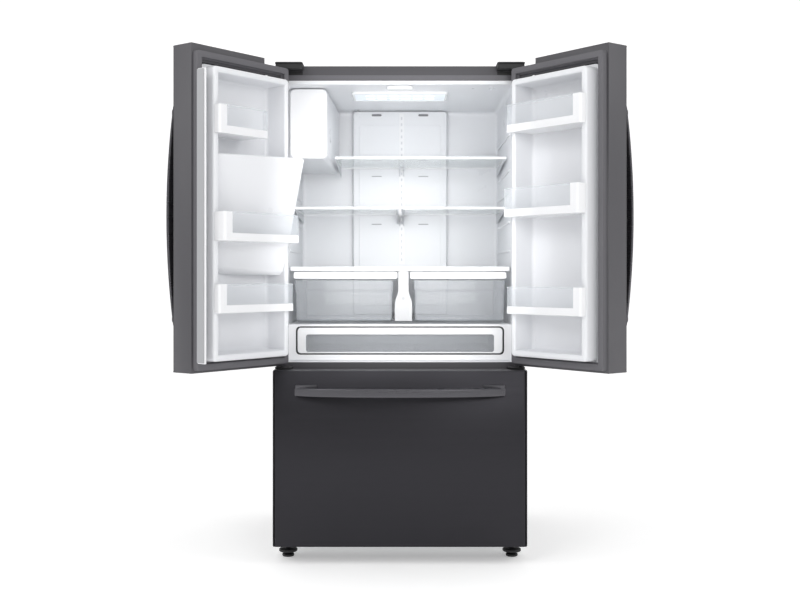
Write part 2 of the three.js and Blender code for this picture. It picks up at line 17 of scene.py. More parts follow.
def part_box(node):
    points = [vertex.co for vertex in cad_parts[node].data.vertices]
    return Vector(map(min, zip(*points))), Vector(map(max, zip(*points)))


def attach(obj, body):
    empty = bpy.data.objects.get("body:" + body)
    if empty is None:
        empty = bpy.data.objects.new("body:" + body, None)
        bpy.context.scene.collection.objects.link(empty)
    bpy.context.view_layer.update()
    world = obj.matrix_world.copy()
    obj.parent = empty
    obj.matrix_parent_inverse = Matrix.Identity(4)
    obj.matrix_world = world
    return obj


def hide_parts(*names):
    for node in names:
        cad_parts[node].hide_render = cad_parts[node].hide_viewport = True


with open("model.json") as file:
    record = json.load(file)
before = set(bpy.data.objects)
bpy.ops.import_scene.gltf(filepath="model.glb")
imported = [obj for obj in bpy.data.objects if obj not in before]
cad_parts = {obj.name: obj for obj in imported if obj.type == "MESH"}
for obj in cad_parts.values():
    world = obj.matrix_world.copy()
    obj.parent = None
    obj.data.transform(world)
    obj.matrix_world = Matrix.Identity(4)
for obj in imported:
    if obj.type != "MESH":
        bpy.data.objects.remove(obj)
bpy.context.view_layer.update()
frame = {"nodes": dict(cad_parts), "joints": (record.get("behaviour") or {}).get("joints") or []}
LOG = logging.getLogger("refrigerator")

Span = tuple[float, float]  # low and high
Flat = tuple[float, float]  # a point of an outline, a profile or a section
Point = tuple[float, float, float]
Loop = list[Point]
Level = tuple[list[Flat], float]  # an outline and how far along the axis it stands
Spans = tuple[Span, Span, Span]
Colour = tuple[float, float, float]
Socket = bpy.types.NodeSocket

MM = 0.001
STOP_ANGLE = math.radians(128)  # where the door stop holds an open door
CORNER_STEPS = 6  # points on a quarter turn of a rounded corner
TIP_RADIUS = 0.02  # stands for a turned shape's pointed end
SKIN_DEPTH = 109.0  # how far ahead of the case a closed door's steel face begins
UNIT = (0.0, 1.0)
CASE_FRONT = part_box("outer_case")[0].y / MM


class Axis(Enum):
    """The axis that a stack of loops runs along."""

    X = "x"
    Y = "y"
    Z = "z"

    def point(self, a: float, b: float, level: float) -> Point:
        """The point (a, b) of an outline drawn across this axis, at a level along it."""
        if self is Axis.X:
            return (level, a, b)
        if self is Axis.Y:
            return (a, level, b)
        return (a, b, level)


@dataclass(frozen=True)
class Place:
    """A frame of reference: a body, and the matrix from cabinet millimetres to the row frame."""

    body: str
    matrix: Matrix

    def span(self, node: str) -> Spans:
        """The x, y and z spans of a CAD node in this place's own millimetres.

        Args:
            node: the CAD node's name.

        Returns:
            Three (low, high) pairs.
        """
        back = self.matrix.inverted()
        points = [back @ v.co for v in frame["nodes"][node].data.vertices]
        return tuple((min(p[i] for p in points), max(p[i] for p in points)) for i in range(3))


def cabinet_place(body: str) -> Place:
    """A place on a body that stands as the cabinet does: x from the middle, y from the case front."""
    return Place(body, Matrix.Translation((0, CASE_FRONT * MM, 0)) @ Matrix.Scale(MM, 4))


def door_place(side: int, body: str) -> Place:
    """A place on an open door, in the millimetres of the closed door.

    Args:
        side: -1 for the left door, 1 for the right one.
        body: the body that the pieces ride on.

    Returns:
        The place, turned about the door's hinge.
    """
    name = "left_door_hinge" if side < 0 else "right_door_hinge"
    joint = next(j for j in frame["joints"] if j["name"] == name)
    pivot = Vector((joint["pos_m"][0], joint["pos_m"][1], 0))
    swing = Matrix.Rotation(side * STOP_ANGLE, 4, "Z")
    turn = Matrix.Translation(pivot) @ swing @ Matrix.Translation(-pivot)
    return Place(body, turn @ cabinet_place(body).matrix)


# ---- Outlines and loops, in millimetres


def round_rect(a: Span, b: Span, radius: float) -> list[Flat]:
    """A rectangle's outline with rounded corners, anticlockwise.

    Args:
        a: low and high along the first direction.
        b: low and high along the second direction.
        radius: of the corners.

    Returns:
        The outline's points.
    """
    radius = max(0.05, min(radius, (a[1] - a[0]) / 2 - 0.01, (b[1] - b[0]) / 2 - 0.01))
    centres = [
        (a[1] - radius, b[0] + radius, -90), (a[1] - radius, b[1] - radius, 0),
        (a[0] + radius, b[1] - radius, 90), (a[0] + radius, b[0] + radius, 180),
    ]
    points = []
    for ca, cb, start in centres:
        for i in range(CORNER_STEPS + 1):
            turn = math.radians(start + 90 * i / CORNER_STEPS)
            points.append((ca + radius * math.cos(turn), cb + radius * math.sin(turn)))
    return points


def oval(centre: Flat, radii: Flat, sides: int) -> list[Flat]:
    """An ellipse's outline, anticlockwise."""
    turns = [2 * math.pi * i / sides for i in range(sides)]
    return [(centre[0] + radii[0] * math.cos(t), centre[1] + radii[1] * math.sin(t)) for t in turns]


def grow(span: Span, by: float) -> Span:
    """A span made longer by the same amount at both ends."""
    return (span[0] - by, span[1] + by)


def quarter(steps: int = 4) -> list[Flat]:
    """Points of a quarter round as (inset, rise) shares, from (1, 0) on the flat to (0, 1) on the side."""
    return [(1 - s, 1 - c) for c, s in arc(steps)]


def arc(steps: int) -> list[Flat]:
    """Cosine and sine pairs of a quarter turn, from (1, 0) to (0, 1)."""
    turns = [math.pi / 2 * i / steps for i in range(steps + 1)]
    return [(math.cos(t), math.sin(t)) for t in turns]


def heel(inset: float, level: float, reach: float, rise: float) -> list[Flat]:
    """The rounded lower edge of a tray in profile, from its bottom up to its wall."""
    return [(inset + reach * i, level + rise * r) for i, r in quarter()]


class Mould:
    """Gathers lofted shapes in one place's millimetres, and makes one piece of them."""

    def __init__(self, place: Place) -> None:
        """Starts an empty mould at a place."""
        self.place = place
        self.mesh = bmesh.new()

    def loft(self, loops: Sequence[Loop], closed: bool = False) -> "Mould":
        """Joins loops of equal length into a closed skin.

        Args:
            loops: the loops, in order.
            closed: True if the last loop joins the first, otherwise both ends are capped.

        Returns:
            The mould, for chaining.
        """
        rings = [[self.mesh.verts.new(p) for p in loop] for loop in loops]
        pairs = list(zip(rings, rings[1:]))
        if closed:
            pairs.append((rings[-1], rings[0]))
        faces = []
        for low, high in pairs:
            for i, vert in enumerate(low):
                j = (i + 1) % len(low)
                faces.append(self.mesh.faces.new((vert, low[j], high[j], high[i])))
        if not closed:
            faces.append(self.mesh.faces.new(rings[0]))
            faces.append(self.mesh.faces.new(rings[-1]))
        bmesh.ops.recalc_face_normals(self.mesh, faces=faces)
        return self

    def stack(self, levels: Iterable[Level], axis: Axis = Axis.Y, closed: bool = False) -> "Mould":
        """Joins outlines drawn across an axis, each at its own level.

        Args:
            levels: the outlines with their levels, in order.
            axis: the axis that the levels run along.
            closed: True if the last outline joins the first.

        Returns:
            The mould, for chaining.
        """
        loops = [[axis.point(a, b, level) for a, b in outline] for outline, level in levels]
        return self.loft(loops, closed)

    def ring(self, a: Span, b: Span, radius: float, axis: Axis, section: Iterable[Flat]) -> "Mould":
        """Carries a closed section round a rounded rectangle.

        Args:
            a: the rectangle's first span.
            b: the rectangle's second span.
            radius: of the rectangle's corners.
            axis: the axis across the rectangle.
            section: (inset, level) points of the section, in order round it.

        Returns:
            The mould, for chaining.
        """
        return self.stack([self._level(a, b, radius, *s) for s in section], axis, closed=True)

    def dish(self, a: Span, b: Span, radius: float, axis: Axis, profile: Iterable[Flat]) -> "Mould":
        """Stacks rounded rectangles along a profile and caps both ends, as for plates, trays and pans.

        Args:
            a: the rectangle's first span.
            b: the rectangle's second span.
            radius: of the rectangle's corners.
            axis: the axis across the rectangle.
            profile: (inset, level) points from one cap to the other.

        Returns:
            The mould, for chaining.
        """
        return self.stack([self._level(a, b, radius, *s) for s in profile], axis)

    def block(self, spans: Spans, edge: float, axis: Axis = Axis.Y, radius: float | None = None) -> "Mould":
        """A block with softly rounded edges.

        Args:
            spans: x, y and z spans.
            edge: the radius of the edges across the axis.
            axis: the axis the outline is pushed along.
            radius: of the outline's corners, or None for the edge radius.

        Returns:
            The mould, for chaining.
        """
        order = {Axis.X: (1, 2, 0), Axis.Y: (0, 2, 1), Axis.Z: (0, 1, 2)}[axis]
        a, b, (low, high) = (spans[i] for i in order)
        edge = min(edge, (high - low) / 2 - 0.01)
        profile = [(edge * i, low + edge * r) for i, r in quarter()]
        profile += [(edge * i, high - edge * r) for i, r in reversed(quarter())]
        return self.dish(a, b, radius or edge, axis, profile)

    def rod(self, centre: Flat, axis: Axis, profile: Iterable[Flat], sides: int = 28) -> "Mould":
        """A turned shape along an axis.

        Args:
            centre: where the axis crosses its plane.
            axis: the axis of the turned shape.
            profile: (radius, level) points.
            sides: of each circle.

        Returns:
            The mould, for chaining.
        """
        sizes = [(max(radius, TIP_RADIUS), level) for radius, level in profile]
        return self.stack([(oval(centre, (radius, radius), sides), level) for radius, level in sizes], axis)

    def wall(self, outline: Sequence[Flat], thick: float, span: Span, edge: float = 0.8,
             axis: Axis = Axis.Z) -> "Mould":
        """A standing wall along an open outline, its thickness to the left of the outline.

        Args:
            outline: points from one end to the other.
            thick: the wall's thickness.
            span: the wall's foot and top.
            edge: how far the top edge is softened.
            axis: the axis that the wall stands along.

        Returns:
            The mould, for chaining.
        """
        inner = offset(outline, thick)
        soft_out, soft_in = offset(outline, edge), offset(outline, thick - edge)
        flat = [*outline, *reversed(inner)]
        soft = [*soft_out, *reversed(soft_in)]
        return self.stack([(flat, span[0]), (flat, span[1] - edge), (soft, span[1])], axis)

    @staticmethod
    def _level(a: Span, b: Span, radius: float, inset: float, level: float) -> Level:
        """One rounded rectangle, inset, with its level."""
        return round_rect(grow(a, -inset), grow(b, -inset), radius - inset), level

    def piece(self, name: str, finish: "Finish", slot: str,
              replaces: Sequence[str] = ()) -> bpy.types.Object:
        """Makes the piece, dresses it and lets it ride on the place's body.

        Args:
            name: the piece's name.
            finish: its finish.
            slot: the record's material slot; not used.
            replaces: the CAD nodes that it stands for.

        Returns:
            The piece's object.
        """
        self.mesh.transform(self.place.matrix)
        if self.place.matrix.determinant() < 0:
            bmesh.ops.reverse_faces(self.mesh, faces=self.mesh.faces)
        data = bpy.data.meshes.new(name)
        self.mesh.to_mesh(data)
        self.mesh.free()
        piece = bpy.data.objects.new(name, data)
        bpy.context.scene.collection.objects.link(piece)
        smooth(piece)
        piece.data.materials.append(finish.material())
        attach(piece, self.place.body)
        if replaces:
            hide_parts(*replaces)
        LOG.info("%s on %s", name, self.place.body)
        return piece


def evenly(span: Span, count: int) -> list[float]:
    """Evenly spaced numbers from one end of a span to the other."""
    return [span[0] + (span[1] - span[0]) * i / (count - 1) for i in range(count)]


def between(first: float, second: float) -> Span:
    """The span between two numbers in either order."""
    return (min(first, second), max(first, second))


def offset(outline: Sequence[Flat], by: float, least: float = 0.3) -> list[Flat]:
    """Moves an open outline sideways, to the left of its direction.

    Args:
        outline: plan points.
        by: the distance.
        least: the cosine that limits how far a sharp corner moves.

    Returns:
        The moved points.
    """
    moved = []
    last = len(outline) - 1
    for i, (x, y) in enumerate(outline):
        before = Vector(outline[max(i - 1, 0)])
        after = Vector(outline[min(i + 1, last)])
        here = Vector((x, y))
        runs = [run for run in (here - before, after - here) if run.length > 1e-6]
        normals = [Vector((-run.y, run.x)).normalized() for run in runs]
        mean = sum(normals, Vector((0, 0))).normalized()
        reach = by / max(mean.dot(normals[0]), least)
        moved.append((x + mean.x * reach, y + mean.y * reach))
    return moved


def smooth(piece: bpy.types.Object, angle: float = 38.0) -> None:
    """Smooth shading that keeps edges sharper than an angle, with normals weighted by face area."""
    piece.data.shade_smooth()
    piece.data.set_sharp_from_angle(angle=math.radians(angle))
    weighted = piece.modifiers.new("weighted normals", "WEIGHTED_NORMAL")
    weighted.keep_sharp = True


# ---- Shader node groups


class Nodes:
    """Short calls for making and linking the nodes of one tree."""

    def __init__(self, tree: bpy.types.NodeTree) -> None:
        """Works on a tree."""
        self.tree = tree

    def make(self, kind: str, **inputs: object) -> bpy.types.Node:
        """Adds a node, setting or linking its inputs.

        Args:
            kind: the node's type name.
            inputs: values or output sockets, by the input's name with underscores for spaces. Names of
                the node's own properties are set as properties.

        Returns:
            The node.
        """
        node = self.tree.nodes.new(kind)
        later = {}
        for key, value in inputs.items():
            if hasattr(node, key) and not isinstance(value, Socket):
                setattr(node, key, value)
            else:
                later[key.replace("_", " ")] = value
        for key, value in later.items():
            self.feed(node.inputs[int(key)] if key.isdigit() else node.inputs[key], value)
        return node

    def feed(self, socket: Socket, value: object) -> None:
        """Links an output to a socket, or sets the socket's value."""
        if isinstance(value, Socket):
            self.tree.links.new(value, socket)
        else:
            socket.default_value = value

    def math(self, operation: str, first: object, second: object) -> Socket:
        """A math node's result."""
        node = self.tree.nodes.new("ShaderNodeMath")
        node.operation = operation
        self.feed(node.inputs[0], first)
        self.feed(node.inputs[1], second)
        return node.outputs[0]

    def mix(self, kind: str, factor: object, first: object, second: object) -> Socket:
        """Two colours or two numbers mixed.

        Args:
            kind: RGBA for colours, FLOAT for numbers.
            factor: the second one's share.
            first: what a factor of 0 gives.
            second: what a factor of 1 gives.

        Returns:
            The mixed value's socket.
        """
        start, end, result = {"RGBA": (6, 7, 2), "FLOAT": (2, 3, 0)}[kind]
        node = self.tree.nodes.new("ShaderNodeMix")
        node.data_type = kind
        self.feed(node.inputs["Factor"], factor)
        self.feed(node.inputs[start], first)
        self.feed(node.inputs[end], second)
        return node.outputs[result]

    def remap(self, value: object, low: Span, high: Span) -> Socket:
        """A value carried from one range to another."""
        node = self.tree.nodes.new("ShaderNodeMapRange")
        for index, number in enumerate((*low, *high), 1):
            node.inputs[index].default_value = number
        self.feed(node.inputs[0], value)
        return node.outputs[0]


Fill = Callable[[Nodes, bpy.types.Node, Socket], Sequence[Socket]]


def shared_group(name: str, inputs: dict[str, float], outputs: Sequence[str],
                 fill: Fill) -> bpy.types.NodeTree:
    """A shader node group with float sockets, built at its first use.

    Args:
        name: the group's name.
        inputs: input names with their default values.
        outputs: output names.
        fill: makes the inner nodes from the group's input node and the object's coordinates, and
            gives one socket for each output.

    Returns:
        The node group.
    """
    if name in bpy.data.node_groups:
        return bpy.data.node_groups[name]
    tree = bpy.data.node_groups.new(name, "ShaderNodeTree")
    for label, value in inputs.items():
        socket = tree.interface.new_socket(name=label, in_out="INPUT", socket_type="NodeSocketFloat")
        socket.default_value = value
    for label in outputs:
        tree.interface.new_socket(name=label, in_out="OUTPUT", socket_type="NodeSocketFloat")
    nodes = Nodes(tree)
    inside = nodes.make("NodeGroupInput")
    place = nodes.make("ShaderNodeTexCoord")
    results = fill(nodes, inside, place.outputs["Object"])
    end = nodes.make("NodeGroupOutput")
    for label, result in zip(outputs, results):
        nodes.feed(end.inputs[label], result)
    return tree


def grain_group() -> bpy.types.NodeTree:
    """Fine brushed grain along x: long thin streaks for sheet metal."""

    def fill(nodes: Nodes, inside: bpy.types.Node, where: Socket) -> Sequence[Socket]:
        """Fine streaks over broad ones, drawn out across z."""
        stretch = inside.outputs["Stretch"]
        long = nodes.make("ShaderNodeCombineXYZ", X=stretch, Y=stretch, Z=1.0)
        across = nodes.make("ShaderNodeVectorMath", operation="MULTIPLY")
        nodes.feed(across.inputs[0], where)
        nodes.feed(across.inputs[1], long.outputs[0])
        drawn = across.outputs[0]
        streaks = nodes.make("ShaderNodeTexNoise", Vector=drawn, Scale=inside.outputs["Scale"], Detail=3.0)
        broad = nodes.make("ShaderNodeTexNoise", Vector=drawn, Scale=60.0, Detail=2.0)
        fine_share = nodes.math("MULTIPLY", streaks.outputs["Fac"], 0.7)
        broad_share = nodes.math("MULTIPLY", broad.outputs["Fac"], 0.3)
        mixed = nodes.math("ADD", fine_share, broad_share)
        return nodes.remap(mixed, (0.35, 0.65), UNIT), mixed

    return shared_group("brushed grain", {"Scale": 900.0, "Stretch": 0.012}, ["Mask", "Height"], fill)


def texture_group() -> bpy.types.NodeTree:
    """The fine leathery texture of moulded plastic, with slow variation for handling marks."""

    def fill(nodes: Nodes, inside: bpy.types.Node, where: Socket) -> Sequence[Socket]:
        """A fine noise for the texture and a slow one for the marks."""
        fine = nodes.make("ShaderNodeTexNoise", Vector=where, Scale=inside.outputs["Scale"], Detail=2.0)
        slow = nodes.make("ShaderNodeTexNoise", Vector=where, Scale=7.0, Detail=5.0, Roughness=0.65)
        return fine.outputs["Fac"], nodes.remap(slow.outputs["Fac"], (0.3, 0.7), UNIT)

    return shared_group("moulded texture", {"Scale": 700.0}, ["Height", "Marks"], fill)


def spangle_group() -> bpy.types.NodeTree:
    """The crystal pattern of zinc-coated sheet."""

    def fill(nodes: Nodes, inside: bpy.types.Node, where: Socket) -> Sequence[Socket]:
        """Cells, each with a shade of its own."""
        cells = nodes.make("ShaderNodeTexVoronoi", Vector=where, Scale=inside.outputs["Scale"])
        shades = nodes.make("ShaderNodeSeparateColor", Color=cells.outputs["Color"])
        return [shades.outputs["Red"]]

    return shared_group("zinc spangle", {"Scale": 70.0}, ["Mask"], fill)


# ---- Finishes


def shade(colour: Colour, by: float) -> tuple[float, float, float, float]:
    """A colour made darker or lighter, with alpha."""
    return (*(min(1.0, max(0.0, c * by)) for c in colour), 1.0)


@dataclass(frozen=True)
class Finish:
    """A finish with a name and a colour. Its material is made once."""

    name: str
    colour: Colour

    def material(self) -> bpy.types.Material:
        """The finish's material."""
        if self.name in bpy.data.materials:
            return bpy.data.materials[self.name]
        made = bpy.data.materials.new(self.name)
        made.use_nodes = True
        made.node_tree.nodes.clear()
        nodes = Nodes(made.node_tree)
        shader = nodes.make("ShaderNodeBsdfPrincipled")
        out = nodes.make("ShaderNodeOutputMaterial")
        nodes.feed(out.inputs["Surface"], shader.outputs[0])
        nodes.feed(shader.inputs["Base Color"], (*self.colour, 1.0))
        self.dress(nodes, shader)
        return made

    def dress(self, nodes: Nodes, shader: bpy.types.Node) -> None:
        """Adds the finish's own nodes to its shader."""

    def group(self, nodes: Nodes, tree: bpy.types.NodeTree, **values: float) -> bpy.types.Node:
        """Places a shared node group in the material with its own values."""
        node = nodes.make("ShaderNodeGroup", node_tree=tree)
        for label, value in values.items():
            node.inputs[label].default_value = value
        return node

    def tint(self, nodes: Nodes, mask: Socket, low: float, high: float) -> Socket:
        """The colour varied between two shades by a mask.

        Args:
            nodes: the material's nodes.
            mask: from 0 to 1.
            low: the shade at 0.
            high: the shade at 1.

        Returns:
            The colour socket.
        """
        return nodes.mix("RGBA", mask, shade(self.colour, low), shade(self.colour, high))

    def bump(self, nodes: Nodes, shader: bpy.types.Node, height: Socket, strength: float,
             distance: float) -> None:
        """Feeds a height into the shader's normal."""
        node = nodes.make("ShaderNodeBump", Strength=strength, Distance=distance, Height=height)
        nodes.feed(shader.inputs["Normal"], node.outputs[0])


@dataclass(frozen=True)
class BrushedSteel(Finish):
    """Dark coated stainless sheet with fine horizontal brushing."""

    roughness: float = 0.36
    metallic: float = 0.85
    grain: float = 900.0

    def dress(self, nodes: Nodes, shader: bpy.types.Node) -> None:
        """Adds grain to colour, roughness and normal, under a thin clear coat."""
        colour, gloss = self.brushed(nodes, shader)
        nodes.feed(shader.inputs["Base Color"], colour)
        nodes.feed(shader.inputs["Roughness"], gloss)
        shader.inputs["Metallic"].default_value = self.metallic
        shader.inputs["Coat Weight"].default_value = 0.15
        shader.inputs["Coat Roughness"].default_value = 0.3

    def brushed(self, nodes: Nodes, shader: bpy.types.Node) -> tuple[Socket, Socket]:
        """Feeds the grain's height to the shader.

        Args:
            nodes: the material's nodes.
            shader: its shader.

        Returns:
            The grain's colour and its roughness.
        """
        grain = self.group(nodes, grain_group(), Scale=self.grain)
        self.bump(nodes, shader, grain.outputs["Height"], 0.05, 0.0002)
        spread = (self.roughness - 0.05, self.roughness + 0.07)
        mask = grain.outputs["Mask"]
        return self.tint(nodes, mask, 0.95, 1.05), nodes.remap(mask, UNIT, spread)


@dataclass(frozen=True)
class SkinnedSteel(BrushedSteel):
    """A steel skin over a painted frame: steel beyond a plane, paint on the rest."""

    outward: Point = (0.0, -1.0, 0.0)
    plane: float = 0.0  # metres along the outward direction
    paint: Colour = (0.074, 0.072, 0.08)

    def dress(self, nodes: Nodes, shader: bpy.types.Node) -> None:
        """Mixes brushed steel and satin paint by a mask across the plane."""
        colour, gloss = self.brushed(nodes, shader)
        texture = self.group(nodes, texture_group(), Scale=1200.0)
        place = nodes.make("ShaderNodeTexCoord")
        along = nodes.make("ShaderNodeVectorMath", operation="DOT_PRODUCT")
        nodes.feed(along.inputs[0], place.outputs["Object"])
        along.inputs[1].default_value = self.outward
        skin = nodes.math("GREATER_THAN", along.outputs["Value"], self.plane)
        nodes.feed(shader.inputs["Base Color"], nodes.mix("RGBA", skin, (*self.paint, 1.0), colour))
        nodes.feed(shader.inputs["Metallic"], nodes.remap(skin, UNIT, (0.0, self.metallic)))
        satin = nodes.remap(texture.outputs["Marks"], UNIT, (0.42, 0.5))
        nodes.feed(shader.inputs["Roughness"], nodes.mix("FLOAT", skin, satin, gloss))


@dataclass(frozen=True)
class Plastic(Finish):
    """Moulded plastic, from glossy liner to textured trim."""

    roughness: float = 0.3
    texture: float = 700.0
    relief: float = 0.08
    glow: float = 0.0

    def dress(self, nodes: Nodes, shader: bpy.types.Node) -> None:
        """Adds moulded texture and faint handling marks."""
        texture = self.group(nodes, texture_group(), Scale=self.texture)
        nodes.feed(shader.inputs["Base Color"], self.tint(nodes, texture.outputs["Marks"], 0.992, 1.0))
        spread = (self.roughness * 0.9, self.roughness * 1.1)
        nodes.feed(shader.inputs["Roughness"], nodes.remap(texture.outputs["Marks"], UNIT, spread))
        shader.inputs["IOR"].default_value = 1.5
        if self.glow:
            shader.inputs["Emission Color"].default_value = (*self.colour, 1.0)
            shader.inputs["Emission Strength"].default_value = self.glow
        self.bump(nodes, shader, texture.outputs["Height"], self.relief, 0.0003)


@dataclass(frozen=True)
class Clear(Finish):
    """Clear moulded plastic or glass, seen through in the middle and denser towards its edges."""

    veil: float = 0.12
    edge: float = 0.55
    roughness: float = 0.06

    def dress(self, nodes: Nodes, shader: bpy.types.Node) -> None:
        """Lets the background through, less so at a grazing angle, with faint scuffs in the gloss."""
        texture = self.group(nodes, texture_group(), Scale=300.0)
        nodes.feed(shader.inputs["Base Color"], self.tint(nodes, texture.outputs["Marks"], 0.97, 1.0))
        spread = (self.roughness, self.roughness + 0.05)
        nodes.feed(shader.inputs["Roughness"], nodes.remap(texture.outputs["Marks"], UNIT, spread))
        facing = nodes.make("ShaderNodeLayerWeight", Blend=0.25)
        cover = nodes.remap(facing.outputs["Facing"], UNIT, (self.veil, self.edge))
        nodes.feed(shader.inputs["Alpha"], cover)
        shader.inputs["IOR"].default_value = 1.5


@dataclass(frozen=True)
class BareMetal(Finish):
    """Zinc-coated or plain metal with a crystal pattern."""

    roughness: float = 0.38
    cells: float = 70.0

    def dress(self, nodes: Nodes, shader: bpy.types.Node) -> None:
        """Adds the crystal pattern to colour and roughness."""
        spangle = self.group(nodes, spangle_group(), Scale=self.cells)
        nodes.feed(shader.inputs["Base Color"], self.tint(nodes, spangle.outputs["Mask"], 0.86, 1.08))
        spread = (self.roughness - 0.08, self.roughness + 0.1)
        nodes.feed(shader.inputs["Roughness"], nodes.remap(spangle.outputs["Mask"], UNIT, spread))
        shader.inputs["Metallic"].default_value = 1.0
        texture = self.group(nodes, texture_group(), Scale=250.0)
        self.bump(nodes, shader, texture.outputs["Height"], 0.05, 0.0003)


STEEL_COLOUR = (0.034, 0.033, 0.038)
HANDLE_STEEL = BrushedSteel("graphite handle steel", (0.1, 0.098, 0.108), roughness=0.3)
CASE_PAINT = Plastic("case paint", (0.064, 0.062, 0.069), roughness=0.45, texture=1200.0, relief=0.2)
# A lighter copy of the case paint: painted light on the case's top rail.
LIT_CASE_PAINT = Plastic("case paint painted light", (0.115, 0.112, 0.124), roughness=0.4, texture=1200.0, relief=0.1)
WHITE = Plastic("white liner", (0.8, 0.81, 0.835), roughness=0.3)
WHITE_TRIM = Plastic("white trim", (0.88, 0.885, 0.9), roughness=0.22, texture=300.0, relief=0.03)
# Light grey of brackets, hooks and trays, also used as painted shade for the shelf rail's slots.
PALE_GREY_AND_SLOT_SHADE = Plastic("light grey trim and slot shade", (0.66, 0.67, 0.7), roughness=0.4)
# Grey of the mullion's side strip, also used as painted shade for the duct slots and the post's hole.
MULLION_GREY_AND_HOLE_SHADE = Plastic("mullion grey and hole shade", (0.38, 0.385, 0.4), roughness=0.42)
# Grey on the white crisper post: painted shade that dims it.
SHADED_POST_GREY = Plastic("post grey painted shade", (0.46, 0.465, 0.475), roughness=0.35)
# Painted shade for the duct's vent openings.
VENT_SHADE_GREY = Plastic("painted vent shade", (0.22, 0.22, 0.235), roughness=0.6)
BLACK = Plastic("black plastic", (0.01, 0.01, 0.011), roughness=0.5, texture=900.0, relief=0.25)
HINGE_GREY = Plastic("hinge cover grey", (0.013, 0.013, 0.014), roughness=0.55, texture=900.0, relief=0.15)
BLACK_GLOSS = Plastic("black gloss panel", (0.006, 0.006, 0.007), roughness=0.08, texture=200.0,
                      relief=0.01)
RUBBER = Plastic("gasket rubber", (0.125, 0.122, 0.133), roughness=0.65, texture=500.0, relief=0.3)
CLEAR = Clear("clear plastic", (0.8, 0.84, 0.88), veil=0.1, edge=0.6)
CRISPER_CLEAR = Clear("clear crisper plastic", (0.74, 0.77, 0.81), veil=0.16, edge=0.7)
GLASS = Clear("shelf glass", (0.74, 0.8, 0.81), veil=0.25, edge=0.75, roughness=0.03)
ZINC = BareMetal("zinc steel", (0.58, 0.59, 0.6))
FINS = BareMetal("fin aluminium", (0.75, 0.76, 0.77), roughness=0.32, cells=20.0)
COPPER = BareMetal("copper pipe", (0.72, 0.4, 0.26), roughness=0.3, cells=15.0)
LIGHT = Plastic("light diffuser", (0.8, 0.86, 0.92), roughness=0.25, glow=0.25)
LED = Plastic("light dots", (0.95, 0.98, 1.0), roughness=0.2, glow=1.4)
ICON = Plastic("panel lights", (0.75, 0.9, 1.0), roughness=0.3, glow=1.5)


class Softening(Enum):
    """How far a carried-over CAD node's edges are rounded, in millimetres."""

    FINE = 0.35
    SHEET = 0.8
    MOULDED = 1.5


def carry(nodes: Iterable[str], finish: Finish, softening: Softening) -> None:
    """Keeps CAD nodes as they are, with rounded edges and a finish.

    Args:
        nodes: the CAD nodes' names.
        finish: their finish.
        softening: how far their edges are rounded.
    """
    for name in nodes:
        node = frame["nodes"][name]
        node.data.materials.clear()
        node.data.materials.append(finish.material())
        node.modifiers.new("weld", "WELD").merge_threshold = 0.00002
        bevel = node.modifiers.new("round edges", "BEVEL")
        bevel.width = softening.value * MM
        bevel.segments = 2
        bevel.limit_method = "ANGLE"
        bevel.angle_limit = math.radians(40)
        bevel.harden_normals = True
        node.data.shade_smooth()
        LOG.info("%s kept from the frame in %s", name, finish.name)


# ---- Sub-assemblies


